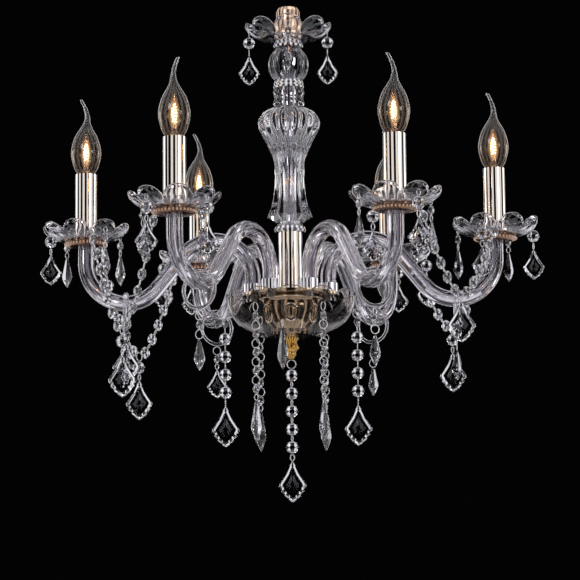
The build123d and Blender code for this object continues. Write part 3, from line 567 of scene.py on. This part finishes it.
LEAF_SIDE = ((0.05, 0.0), (0.16, -0.07), (0.42, -0.27), (0.76, -0.45), (0.97, -0.55),
             (1.0, -0.61), (0.87, -0.67), (0.84, -0.73), (0.64, -0.79), (0.58, -0.85),
             (0.34, -0.91), (0.27, -0.945))


def leaf(height, width):
    """A notched leaf with bevelled facets that run in to a lozenge on each face."""
    side = [(x * width / 2, z * height) for x, z in LEAF_SIDE]
    outline = [*side, (0.0, -height), *[(-x, z) for x, z in reversed(side)]]
    middle = -0.56 * height
    half = width * 0.14
    rings = []
    for share, depth in ((0.18, -0.88), (0.50, -0.97), (0.76, -1.0), (0.92, -0.62), (1.0, -0.12),
                         (1.0, 0.12), (0.92, 0.62), (0.76, 1.0), (0.50, 0.97), (0.18, 0.88)):
        rings.append([(x * share, depth * half, middle + (z - middle) * share) for x, z in outline])
    return loft(rings)


def spear(height, width):
    """A slim eight-sided drop, cut in long facets."""
    radius = width / 2
    steps = ((0.0, 0.20), (0.06, 0.34), (0.30, 0.62), (0.60, 1.0), (0.68, 0.98), (0.86, 0.55),
             (1.0, 0.08))
    return loft([circle(radius * share, 8, -height * down) for down, share in steps])


def oval_bead():
    """A small barrel bead with eight long facets and a bevel on each end."""
    steps = ((0.0, 0.35), (0.16, 0.72), (0.5, 1.0), (0.84, 0.72), (1.0, 0.35))
    return loft([circle(WIDTHS["oval"] / 2 * share, 8, -HEIGHTS["oval"] * down)
                 for down, share in steps])


def wire_ring(height, width=None):
    """A wire ring that hangs from Z = 0; a narrower one is drawn out into a link."""
    stock = settings().wire / 2
    across = (width or height) / 2 - stock
    corners, faces = torus(across, stock, 24, 8, (height / 2 - stock) / across)
    return [(x, y, z - height / 2) for x, y, z in corners], faces


def link_form(name):
    """The form and the finish of one link of a string."""
    forms = {
        "ring": (lambda: wire_ring(RING_LARGE), "chrome"),
        "hook": (lambda: wire_ring(HOOK_LENGTH, HOOK_WIDTH), "chrome"),
        "pin": (lambda: wire_ring(PIN_LENGTH + PIN_OVERLAP, PIN_WIDTH), "chrome"),
        "octagon": (octagon_bead, "crystal"),
        "oval": (oval_bead, "crystal"),
    }
    if name in forms:
        make, finish = forms[name]
        return make(), finish
    make = leaf if "leaf" in name else spear
    return make(HEIGHTS[name], WIDTHS[name]), "crystal"


def hang(shape, names, place):
    """Hang links and crystals one under the other from a place, flat ones facing the front."""
    level = 0.0
    back = Matrix.Rotation(-place.to_euler().z, 4, "Z")
    for name in names:
        form, finish = link_form(name)
        rise = PIN_OVERLAP / 2 if name == "pin" else 0.0
        facing = back if name in FACING_FRONT else Matrix()
        shape.add(form, finish, place @ move(0, 0, level + rise) @ facing)
        level -= HEIGHTS[name] + JOIN_GAP


# ------------------------------------------------------------ glass of the arms, cups and column
def arm_line(step_degrees=5.0):
    """Centre line of an arm as (radius, level, slope) with the slope as an angle."""
    first = (LEG_RADIUS + HUMP_BEND, PEAK_LEVEL - HUMP_BEND)
    second = (CANDLE_RADIUS - SWEEP_BEND, SWEEP_LEVEL + SWEEP_BEND)
    span = hypot(second[0] - first[0], second[1] - first[1])
    lean = atan2(second[1] - first[1], second[0] - first[0]) + acos((HUMP_BEND + SWEEP_BEND) / span)
    line = [(LEG_RADIUS, ARM_FOOT, pi / 2)]
    steps = int((180 - degrees(lean)) / step_degrees) + 1
    for i in range(steps + 1):
        angle = pi + (lean - pi) * i / steps
        line.append((first[0] + HUMP_BEND * cos(angle), first[1] + HUMP_BEND * sin(angle),
                     angle - pi / 2))
    for i in range(steps + 1):
        angle = pi + lean + (pi - lean) * i / steps
        line.append((second[0] + SWEEP_BEND * cos(angle), second[1] + SWEEP_BEND * sin(angle),
                     angle + pi / 2 - 2 * pi))
    line.append((CANDLE_RADIUS, PAN_BOTTOM - 0.05, pi / 2))
    return line


def arm_tube(section, sides):
    """Rings of an arm's skin with a section that follows the angle round it."""
    rings = []
    for x, z, slope in arm_line():
        ring = []
        for k in range(sides):
            angle = 2 * pi * k / sides
            out = section(angle)
            across = out * cos(angle)
            ring.append((x - across * sin(slope), out * sin(angle), z + across * cos(slope)))
        rings.append(ring)
    return rings


def petal_cup(profile, petals, cut, wall, bore, ridge=0.6):
    """A flower cup; cut is (groove share, how it grows upwards, scallop share)."""
    groove, growth, scallop = cut
    sides = petals * 20
    points = smooth_points(profile, 4)
    top = profile[-1][0]

    def ring(level, radius, inside=0.0):
        t = max(level, 0) / top

        def radius_at(angle):
            flute = inside * ridge * cos(3 * petals * angle) * max(0.0, 1 - 1.6 * t)
            return radius * (1 - groove * t ** growth * (1 - petal_rise(angle, petals))) + flute

        def level_at(angle):
            return level * (1 - scallop * t ** 1.2 * (1 - petal_rise(angle, petals)))
        return circle(radius_at, sides, level_at)

    outer = [ring(level, radius) for level, radius in points]
    inner = []
    for i, (level, radius) in enumerate(points):
        a, b = points[max(i - 1, 0)], points[min(i + 1, len(points) - 1)]
        rise, run = b[0] - a[0], b[1] - a[1]
        size = hypot(rise, run)
        thick = wall * (1 + 0.35 * max(0.0, level / top - 0.75) / 0.25)
        inner.append(ring(level + thick * run / size, radius - thick * rise / size, 1.0))
    last, under = Vector(points[-1]), Vector(points[-2])
    ahead = (last - under).normalized()
    thick = wall * 1.35
    lip = []
    for k in range(1, 5):
        angle = pi * k / 5
        bulge = ahead * (thick / 2 * sin(angle))
        side = Vector((ahead.y, -ahead.x)) * (thick / 2 * (1 - cos(angle)))
        level, radius = last + bulge * 0.9 + side
        lip.append(ring(level, radius))
    hole = [circle(bore / 2, sides, level) for level in (wall, 0)]
    return loft(outer + lip + inner[::-1] + hole, closed=True)


CUP_CUT, CUP_WALL = (0.15, 0.5, 0.50), 2.8
CUP_PROFILE = ((0.0, 25.0), (0.9, 31.0), (4.4, 39.5), (9.4, 46.2), (14.0, 49.2), (18.0, 49.6))
BOWL_PROFILE = ((0.0, 26.0), (5.2, 43.1), (15.6, 59.4), (28.6, 69.0), (41.6, 73.1), (49.6, 74.1))


def drilled(levels, petals, bore, sides):
    """Column glass from (level, radius, groove share, flatness) steps, with a bore."""
    rings = []
    for level, radius, groove, flat in levels:
        def radius_at(angle, radius=radius, groove=groove, flat=flat):
            side = pi / 3
            off = (angle + side / 2) % side - side / 2
            six = cos(side / 2) / cos(abs(off) - side / 2)
            return radius * (1 - groove * (1 - lobes(angle, petals))) * (1 - flat + flat * six)
        rings.append(circle(radius_at, sides, level))
    for level in (levels[-1][0], levels[0][0]):
        rings.append(circle(bore / 2, sides, level))
    return loft(rings, closed=True)


# (height, radius, groove share, flatness of the six sides)
VASE_STEPS = (
    (0.0, 15.0, 0.0, 0.2), (5.0, 15.2, 0.0, 0.7), (11.2, 25.0, 0.0, 1.0), (12.2, 25.5, 0.0, 1.0),
    (22.2, 21.8, 0.0, 1.0), (38.9, 18.0, 0.0, 0.9), (58.4, 17.0, 0.015, 0.7),
    (77.8, 18.0, 0.03, 0.4), (97.3, 25.6, 0.05, 0.1),
    (111.2, 33.0, 0.065, 0.0), (122.3, 35.4, 0.07, 0.0),
    (132.0, 30.5, 0.06, 0.0), (139.0, 18.4, 0.05, 0.0))
BALL_STEPS = (
    (0.0, 13.3, 0.10, 0), (5.0, 18.6, 0.11, 0), (13.0, 22.2, 0.11, 0),
    (22.0, 23.0, 0.11, 0), (31.0, 20.2, 0.11, 0), (40.0, 13.3, 0.10, 0))
BEAD_STEPS = (
    (0.0, 15.8, 0.04, 0), (4.0, 17.9, 0.06, 0), (6.5, 17.6, 0.06, 0), (11.2, 16.1, 0.05, 0),
    (16.0, 17.6, 0.06, 0), (18.5, 17.9, 0.06, 0), (22.5, 15.8, 0.04, 0))


# ------------------------------------------------------------ operators
class PieceOperator:
    """What every operator of the chandelier shares."""

    bl_options = {"REGISTER", "UNDO"}

    def execute(self, context):
        """Build the operator's pieces."""
        self.build()
        return {"FINISHED"}


class BuildMetalwork(PieceOperator, Operator):
    """Finish the stem, collars, tubes, hub and inner parts of the frame"""

    bl_idname = "chandelier.metalwork"
    bl_label = "Metalwork"
    FINISH_OF_NODE = {
        "stem_cap": "gilt", "column_collars": "chrome", "column_tube": "champagne",
        "centre_pipe": "chrome", "arm_plate": "bronze",
        "terminal_block": "plastic", "arm_ferrules": "chrome", "arm_screws": "steel",
        "lamp_holders": "plastic", "candle_sleeves": "champagne",
    }

    def build(self):
        for node, finish in self.FINISH_OF_NODE.items():
            obj = frame["nodes"][node]
            for slot in obj.material_slots:
                slot.material = finish_of(finish)


class BuildArms(PieceOperator, Operator):
    """Draw the six ribbed glass arms with the leads inside them"""

    bl_idname = "chandelier.arms"
    bl_label = "Glass arms"

    def build(self):
        radius, depth = ARM_DIAMETER / 2, settings().rib_depth
        ribs, bore_radius, lead_radius = 9, 3.6, 1.3
        shape = Shape()
        skin = arm_tube(lambda angle: radius - depth * (1 - lobes(angle, ribs)), 90)
        bore = arm_tube(lambda _: bore_radius, 90)
        glass = loft(skin + bore[::-1], closed=True)
        lead = swept([(x, 0, z) for x, z, _ in arm_line(9)], lead_radius)
        for name in ARM_NAMES:
            shape.add(glass, "arm glass", turn(arm_azimuth(name)))
            shape.add(lead, "lead", turn(arm_azimuth(name)))
        shape.piece("ribbed_arms", ROOT, ["glass_arms"], "crystal", 50)


class BuildCups(PieceOperator, Operator):
    """Draw the flower cups of the candles and the stem, and the bowl round the hub"""

    bl_idname = "chandelier.cups"
    bl_label = "Flower cups and bowl"

    def build(self):
        cup = petal_cup(CUP_PROFILE, DISH_PETALS, CUP_CUT, CUP_WALL, 8.6)
        shape = Shape()
        for name in ARM_NAMES:
            body = f"pendants_{name}_a"
            x, y, _ = joint_point(body)
            shape.add(cup, "cup glass", move(x, y, DISH_LEVEL) @ turn(joint_azimuth(body)))
        shape.piece("flower_cups", ROOT, ["candle_dishes"], "crystal", 40)
        top = Shape()
        top.add(petal_cup(CUP_PROFILE, DISH_PETALS, CUP_CUT, CUP_WALL, 15.0), "cup glass",
                move(0, 0, TOP_DISH_BOTTOM))
        top.piece("stem_cup", ROOT, ["top_dish"], "crystal", 40)
        bowl = Shape()
        bowl.add(petal_cup(BOWL_PROFILE, 12, (0.06, 3.0, 0.17), 2.2, 9.8, 0.0), "bowl glass",
                 move(0, 0, BOWL_BOTTOM))
        bowl.piece("petal_bowl", ROOT, ["glass_bowl"], "crystal", 40)


class BuildColumnGlass(PieceOperator, Operator):
    """Draw the melon ball, the waisted bead and the tall vase of the column"""

    bl_idname = "chandelier.column_glass"
    bl_label = "Column glass"

    def build(self):
        for name, node, steps, (petals, sides), bottom, sharp in (
                ("tall_vase", "vase", VASE_STEPS, (20, 180), VASE_BOTTOM, 24),
                ("melon_ball", "ribbed_ball", BALL_STEPS, (8, 96), BALL_BOTTOM, 40),
                ("waisted_bead", "spool_bead", BEAD_STEPS, (8, 96), BEAD_BOTTOM, 40)):
            shape = Shape()
            glass = drilled(smooth_points(steps, 4), petals, 15, sides)
            shape.add(glass, "cup glass", move(0, 0, bottom))
            shape.piece(name, ROOT, [node], "crystal", sharp)


class BuildPans(PieceOperator, Operator):
    """Draw the gilt candle pans with their beaded rims, and the finial"""

    bl_idname = "chandelier.pans"
    bl_label = "Pans and finial"

    def build(self):
        beads = settings().pan_beads
        profile = ((0.01, 0.0), (17.5, 0.0), (20.0, 0.6), (22.6, 2.0), (23.2, 3.6), (22.4, 5.4),
                   (15.0, 5.4), (0.01, 5.4))
        dish = turned(profile, 64)
        bead = turned(
            [(1.45 * sin(pi * k / 6) + 0.01, -1.45 * cos(pi * k / 6)) for k in range(7)], 10)
        shape = Shape()
        for name in ARM_NAMES:
            place = candle_place(name, PAN_BOTTOM)
            shape.add(dish, "deep gilt", place)
            for i in range(beads):
                shape.add(bead, "gilt", place @ turn(360 * i / beads) @ move(23.4, 0, 2.6))
        shape.piece("beaded_pans", ROOT, ["candle_pans"], "gilt", 40)
        radius = 8.5
        steps = ((1.0, 0.0), (1.0, 0.04), (0.72, 0.17), (0.70, 0.23), (0.90, 0.36), (0.95, 0.46),
                 (0.84, 0.56), (0.55, 0.66), (0.64, 0.74), (0.62, 0.81), (0.42, 0.90), (0.36, 1.0))
        nut = Shape()
        top = BOWL_BOTTOM - 0.05
        nut.add(turned([(radius * r, top - FINIAL_HEIGHT * z) for r, z in steps], 40), "amber gilt")
        for i in range(14):
            nut.add(bead, "amber gilt", turn(360 * i / 14) @ move(radius * 0.88, 0, top - 11))
        nut.piece("gilt_finial", ROOT, ["finial"], "gilt", 40)


class BuildHubCup(PieceOperator, Operator):
    """Draw the bronze hub cup with its rolled rim and oval bosses"""

    bl_idname = "chandelier.hub_cup"
    bl_label = "Hub cup"

    def build(self):
        wall = ((19.6, 0.4), (20.6, 2.6), (19.6, 4.6), (22.0, 8.0), (25.6, 13.0), (28.0, 18.5),
                (29.8, 24.0), (30.4, 29.5), (30.6, 34.0), (32.0, 37.2), (34.4, 39.2), (35.3, 41.0),
                (34.6, 42.7), (32.6, 42.4))
        outside = smooth_points(wall, 3)
        inside = [(r - 1.6, z + 1.2) for r, z in outside[::-6] if r < 31.5]
        shape = Shape()
        shape.add(turned([*outside, (31.0, 41.0), *inside, (8.0, 2.2), (8.0, 0.4)], 72, True),
                  "bronze", move(0, 0, HUB_CUP_BOTTOM))
        ring = torus(7.6, 0.9, 32, 8, 1.3)
        dome = turned(
            [(5.6 * sin(pi * k / 12) + 0.01, 2.4 * cos(pi * k / 12)) for k in range(7)], 28)
        rib = [(0, -22.2 - 0.40 * h + 0.0050 * h * h, h - 374) for h in range(0, 29, 4)]
        for k in range(6):
            place = turn(60 * k) @ move(0, -29.6, -356.5) @ turn(12, "X")
            shape.add(ring, "champagne", place)
            shape.add(dome, "bronze", place @ turn(90, "X") @ Matrix.Diagonal((1, 1.4, 1, 1)))
            shape.add(swept(rib, 0.9), "champagne", turn(60 * k + 30))
        lip = [(34.9 + 1.1 * cos(pi * k / 6), 40.6 + 1.1 * sin(pi * k / 6)) for k in range(12)]
        shape.add(turned(lip, 72, True), "champagne", move(0, 0, HUB_CUP_BOTTOM))
        shape.piece("bronze_hub_cup", ROOT, ["hub_cup"], "polished_champagne", 40)


class BuildLamps(PieceOperator, Operator):
    """Draw the lit flame lamps: glass, stem, wires, filament and cap"""

    bl_idname = "chandelier.lamps"
    bl_label = "Flame lamps"

    def build(self):
        profile = smooth_points((
            (0.0, 8.6, 0.0), (0.05, 12.0, 0.0), (0.12, 14.6, 0.0), (0.22, 16.8, 0.0),
            (0.30, 17.3, 0.0), (0.40, 15.8, 0.0), (0.50, 12.8, 0.0),
            (0.57, 9.4, -0.02), (0.62, 6.8, -0.06),
            (0.68, 4.3, -0.16), (0.77, 2.8, -0.22), (0.86, 2.3, 0.05), (0.93, 2.2, 0.48),
            (0.985, 2.0, 0.88), (1.0, 1.0, 1.0)), 3)
        wall = 0.6
        outer = [circle(r, 32, z * BULB_HEIGHT, (x * BULB_LEAN, 0)) for z, r, x in profile]
        inner = [circle(r - wall, 32, z * BULB_HEIGHT, (x * BULB_LEAN, 0))
                 for z, r, x in profile if r > 2.2]
        for name in ARM_NAMES:
            shape = Shape()
            tip = BULB_TIPS.get(name, 180.0) - arm_azimuth(name)
            place = candle_place(name, SLEEVE_TOP + 0.15) @ turn(tip)
            foot = [(x, y, z + 0.3) for x, y, z in inner[0]]
            shape.add(loft(outer[::-1] + [foot] + inner[1:]), "bulb glass", place)
            stem = ((0.01, -0.4), (7.0, -0.4), (5.0, 3), (3.0, 8), (2.6, 15), (3.4, 17), (0.01, 18))
            shape.add(turned(stem, 20), "crystal", place)
            for side in (-1, 1):
                post = [(side * 1.4, 0, 12), (side * 1.8, 0, 17), (side * 3.2, 0, 22),
                        (side * 1.2, 0, 37)]
                shape.add(swept(post, 0.28), "chrome", place)
            coil = []
            for i in range(97):
                t, angle = i / 96, 12 * pi * i / 96
                reach = 2.6 * sin(pi * (0.15 + 0.8 * t))
                coil.append((reach * cos(angle), reach * sin(angle), 17 + 19 * t))
            shape.add(swept(coil, 0.42, 6), "filament", place)
            cap = ((0.01, -22), (3.4, -22), (4.2, -20.4), (6.9, -19.6), (6.9, -0.3), (0.01, -0.3))
            shape.add(turned(cap, 24), "champagne", place)
            for glow, across, along in (("outer glow", 8.0, 17.0), ("middle glow", 5.8, 14.5),
                                        ("inner glow", 3.9, 12.0)):
                halo = [(across * sin(pi * k / 14) ** 0.8 * (1 - 0.03 * k) + 0.01,
                         27 - along * cos(pi * k / 14)) for k in range(15)]
                shape.add(turned(halo, 24), glow, place)
            shape.piece(f"lamp_{name}", f"bulb_{name}", [f"bulb_{name}"], "lamp_glass", 60)


class BuildHoops(PieceOperator, Operator):
    """Draw the glass hoops round the arms with their drops"""

    bl_idname = "chandelier.hoops"
    bl_label = "Glass hoops"

    def build(self):
        inner = HOOP_DIAMETER / 2 - HOOP_STOCK
        centre = SWEEP_LEVEL + ARM_DIAMETER / 2 + 0.3 - inner
        hoop = torus((HOOP_DIAMETER - HOOP_STOCK) / 2, HOOP_STOCK / 2, 56, 14)
        for name in ARM_NAMES:
            shape = Shape()
            place = turn(arm_azimuth(name)) @ move(CANDLE_RADIUS - SWEEP_BEND) @ turn(90)
            shape.add(hoop, "arm glass", place @ move(0, 0, centre))
            below = move(0, 0, centre - HOOP_DIAMETER / 2 - JOIN_GAP)
            hang(shape, HOOP_CRYSTALS[name], place @ below)
            shape.piece(f"glass_hoop_{name}", f"hoop_{name}", [f"hoop_{name}"], "crystal", 60)


class BuildPendants(PieceOperator, Operator):
    """Draw the pendants under the flower cups"""

    bl_idname = "chandelier.pendants"
    bl_label = "Cup pendants"

    def build(self):
        for cup, kinds in DISH_CRYSTALS.items():
            for pair, first in (("a", 0), ("b", 1)):
                body = f"pendants_{cup}_{pair}"
                shape = Shape()
                for half in (0, 1):
                    kind = kinds[first + 2 * half]
                    bead = "octagon" if kind == "leaf" else "oval"
                    place = (move(*joint_point(body)) @ turn(joint_azimuth(body) + 180 * half)
                             @ move(HOOK_RADIUS) @ turn(90))
                    hang(shape, ("hook", bead, "hook", kind), place)
                shape.piece(f"cup_drops_{cup}_{pair}", body, [body], "crystal", 60)


def swag_hook(cup, half_petals):
    """The point a swag hangs from on a candle's cup."""
    body = f"pendants_{cup}_a"
    x, y, z = joint_point(body)
    angle = radians(joint_azimuth(body)) + half_petals * pi / DISH_PETALS
    drop = ODD_HOOK_DROP if half_petals % 2 else 0.0
    return Vector((x + HOOK_RADIUS * cos(angle), y + HOOK_RADIUS * sin(angle), z - drop))


def sagging_line(run, drop, steps=120):
    """Places (across, down, distance) along half a swag."""
    line = [(0.0, 0.0, 0.0)]
    for i in range(1, steps + 1):
        t = i / steps
        across = run * t
        down = drop * ((1 - SWAG_SAG) * t + SWAG_SAG * (2 * t - t * t))
        line.append((across, down, line[-1][2] + hypot(across - line[-1][0], down - line[-1][1])))
    return line


def place_on(line, distance):
    """The place (across, down) at a distance along a line."""
    for (x0, z0, s0), (x1, z1, s1) in zip(line, line[1:]):
        if s0 <= distance <= s1:
            share = (distance - s0) / (s1 - s0)
            return x0 + (x1 - x0) * share, z0 + (z1 - z0) * share
    return line[-1][:2]


def swag_branch(shape, hook, middle):
    """Octagons and links from a hook down to the swag's lowest ring."""
    run = hypot(middle.x - hook.x, middle.y - hook.y) - RING_LARGE / 2 - JOIN_GAP
    line = sagging_line(run, hook.z - middle.z)
    length = line[-1][2]
    count = round((length - HOOK_LENGTH + PIN_LENGTH) / (OCTAGON + PIN_LENGTH))
    pin = (length - HOOK_LENGTH - count * (OCTAGON + 2 * JOIN_GAP)) / (count - 1)
    pieces = ["hook", "octagon"] + ["pin", "octagon"] * (count - 1)
    heading = degrees(atan2(middle.y - hook.y, middle.x - hook.x))
    place = Matrix.Translation(hook) @ turn(heading)
    start = 0.0
    for name in pieces:
        size = pin if name == "pin" else HEIGHTS[name]
        x0, z0 = place_on(line, start)
        x1, z1 = place_on(line, start + size)
        lean = degrees(atan2(x1 - x0, z1 - z0))
        form, finish = link_form(name)
        if name == "pin":
            form = wire_ring(pin + PIN_OVERLAP, PIN_WIDTH)
        rise = PIN_OVERLAP / 2 if name == "pin" else 0.0
        shape.add(form, finish, place @ move(x0, 0, -z0) @ turn(-lean, "Y") @ move(0, 0, rise))
        start += size + JOIN_GAP


class BuildSwags(PieceOperator, Operator):
    """Draw the swags of octagons between neighbouring cups"""

    bl_idname = "chandelier.swags"
    bl_label = "Swags"

    def build(self):
        for name, (first, first_hook, second, second_hook, low) in SWAGS.items():
            start, end = swag_hook(first, first_hook), swag_hook(second, second_hook)
            middle = Vector(((start.x + end.x) / 2, (start.y + end.y) / 2, low))
            shape = Shape()
            swag_branch(shape, start, middle)
            swag_branch(shape, end, middle)
            heading = degrees(atan2(end.y - start.y, end.x - start.x))
            tail = move(middle.x, middle.y, low + RING_LARGE / 2) @ turn(heading)
            hang(shape, SWAG_TAILS[name], tail)
            shape.piece(f"octagon_{name}", name, [name], "crystal", 60)


class BuildStrings(PieceOperator, Operator):
    """Draw the strings on the bowl's wall, the front drop and the centre string"""

    bl_idname = "chandelier.strings"
    bl_label = "Crystal strings"

    def on_bowl(self, body, names):
        """One string, its first ring hung in the bowl's wall."""
        place = move(*joint_point(body)) @ turn(joint_azimuth(body))
        shape = Shape()
        hang(shape, ["ring"], place)
        hang(shape, names, place @ move(0, 0, -RING_LARGE - JOIN_GAP) @ turn(90))
        shape.piece(f"{body}_crystals", body, [body], "crystal", 60)

    def build(self):
        for name in ARM_NAMES:
            if name in ("left", "right"):
                names = ["oval"] + ["pin", "octagon"] * 4 + ["hook", "large leaf"]
            else:
                names = ["oval", "ring"] * 4 + ["oval", "hook", "long spear"]
            self.on_bowl(f"bowl_string_{name}", names)
        self.on_bowl("front_drop", ["long spear"])
        names = ["ring", "octagon"] + ["pin", "octagon"] * 4 + ["hook", "large leaf"]
        shape = Shape()
        hang(shape, names, move(*joint_point("centre_string")) @ move(0, 0, -JOIN_GAP))
        shape.piece("centre_string_crystals", "centre_string", ["centre_string"], "crystal", 60)


CAMERA_PLACE = (0.0, -2.700, -0.717)      # in metres, as are the lamps' places and sizes
CAMERA_AIM = (0.0, 0.0, -0.328)
CAMERA_ROLL = -0.59
LAMP_AIM = (0.0, 0.0, -0.3)
LAMPS = (
    ("key_light", (-1.5, -2.2, 1.1), 0.8, 9), ("fill_light", (1.9, -1.8, 0.2), 0.7, 5),
    ("top_light", (0.2, 0.4, 1.9), 1.6, 8), ("rim_light_left", (-2.6, 1.5, 0.1), 0.9, 5),
    ("rim_light_right", (2.6, 1.5, 0.1), 0.9, 5),
)
FLOOR_RADIUS, FLOOR_LEVEL, FLOOR_SIDES = 1800.0, -2000.0, 96
UPRIGHTS = 8.0                            # pale uprights round the room
UPRIGHT_COLOUR = (0.98, 0.96, 1.0)


class BuildStage(PieceOperator, Operator):
    """Set the camera, the pale floor and the soft studio light"""

    bl_idname = "chandelier.stage"
    bl_label = "Stage"

    def build(self):
        self.camera()
        self.floor()
        self.surroundings()
        for lamp in LAMPS:
            self.lamp(*lamp)
        bpy.context.scene.view_settings.view_transform = "Standard"

    def camera(self):
        """Camera of the picture: straight in front, looking slightly up from below the hub."""
        data = bpy.data.cameras.new("picture_camera")
        data.lens = 149.2
        data.sensor_width = 36.0
        data.shift_x = -0.0012
        camera = bpy.data.objects.new("picture_camera", data)
        bpy.context.scene.collection.objects.link(camera)
        camera.location = CAMERA_PLACE
        ahead = Vector(CAMERA_AIM) - camera.location
        look = ahead.to_track_quat("-Z", "Y").to_matrix()
        roll = Matrix.Rotation(radians(CAMERA_ROLL), 3, "Z")
        camera.rotation_euler = (look @ roll).to_euler()
        bpy.context.scene.camera = camera

    def floor(self):
        """A round pale floor well below the chandelier."""
        mesh = bpy.data.meshes.new("pale_floor")
        rim = [Vector(corner) * MM for corner in circle(FLOOR_RADIUS, FLOOR_SIDES, FLOOR_LEVEL)]
        mesh.from_pydata(rim, [], [list(range(FLOOR_SIDES))])
        floor = bpy.data.objects.new("pale_floor", mesh)
        bpy.context.scene.collection.objects.link(floor)
        finish = Finish("pale_floor_paint")
        cloud = finish.noise(180.0, 3.0)
        colour = settings().room_colour
        tint = finish.between(cloud, shade(colour, 0.97), colour)
        mesh.materials.append(finish.surface(finish.node("BsdfPrincipled", inputs={
            "Base Color": tint, "Roughness": 0.8})))

    def surroundings(self):
        """A room that lights softly from all round, black to the camera.

        Mirrors and glass see the black backdrop too, with pale uprights before it.
        """
        world = bpy.data.worlds.new("pale_room")
        bpy.context.scene.world = world
        world.use_nodes = True
        finish = Finish("pale_room", world.node_tree)
        way = finish.node("TexCoord", output="Generated")
        x, y, z = (finish.node("SeparateXYZ", inputs=[way], output=k) for k in range(3))
        around = finish.node("Math", {"operation": "ARCTAN2"}, [y, x])
        wave = finish.node("Math", {"operation": "COSINE"}, [around * UPRIGHTS])
        top = finish.node("MapRange", {"interpolation_type": "SMOOTHSTEP"},
                          {"Value": z, "From Min": 0.35, "From Max": 0.75})
        camera = finish.node("LightPath", output="Is Camera Ray")
        glossy = finish.node("LightPath", output="Is Glossy Ray")
        through = finish.node("LightPath", output="Is Transmission Ray")
        strip = finish.node("MapRange", {"interpolation_type": "SMOOTHSTEP"}, {
            "Value": wave + through * 0.72, "From Min": 0.2, "From Max": -0.2})
        dark = settings().backdrop_colour
        panels = finish.between(strip * 0.85 + top * 0.15, dark, UPRIGHT_COLOUR)
        mirrored = finish.between(camera, panels, dark)
        seen = finish.between(camera + glossy + through, settings().room_colour, mirrored)
        sky = finish.node("Background", inputs=[seen, 1.0])
        finish.node("OutputWorld", inputs=[sky])

    def lamp(self, name, place, size, power):
        """One soft square lamp, aimed at the middle of the chandelier."""
        data = bpy.data.lights.new(name, "AREA")
        data.size = size
        data.energy = power
        lamp = bpy.data.objects.new(name, data)
        bpy.context.scene.collection.objects.link(lamp)
        lamp.location = place
        ahead = Vector(LAMP_AIM) - lamp.location
        lamp.rotation_euler = ahead.to_track_quat("-Z", "Y").to_euler()


# ------------------------------------------------------------ panel and registration
PIECES = (
    BuildMetalwork, BuildArms, BuildCups, BuildColumnGlass, BuildPans, BuildHubCup,
    BuildLamps, BuildHoops, BuildPendants, BuildSwags, BuildStrings, BuildStage,
)


class ChandelierPanel(Panel):
    """Lists the chandelier's settings and pieces in the sidebar"""

    bl_idname = "VIEW3D_PT_chandelier"
    bl_label = "Chandelier"
    bl_space_type = "VIEW_3D"
    bl_region_type = "UI"
    bl_category = "Chandelier"

    def draw(self, context):
        for key in ChandelierSettings.__annotations__:
            self.layout.prop(context.scene.chandelier, key)
        for piece in PIECES:
            self.layout.operator(piece.bl_idname)


CLASSES = (ChandelierSettings, *PIECES, ChandelierPanel)


def register():
    """Add the classes and the scene's settings."""
    for cls in CLASSES:
        bpy.utils.register_class(cls)
    bpy.types.Scene.chandelier = PointerProperty(type=ChandelierSettings)


def unregister():
    """Take them away again."""
    del bpy.types.Scene.chandelier
    for cls in reversed(CLASSES):
        bpy.utils.unregister_class(cls)


def main():
    """Dress the frame."""
    register()
    for piece in PIECES:
        family, action = piece.bl_idname.split(".")
        getattr(getattr(bpy.ops, family), action)()


if __name__ == "__main__":
    main()
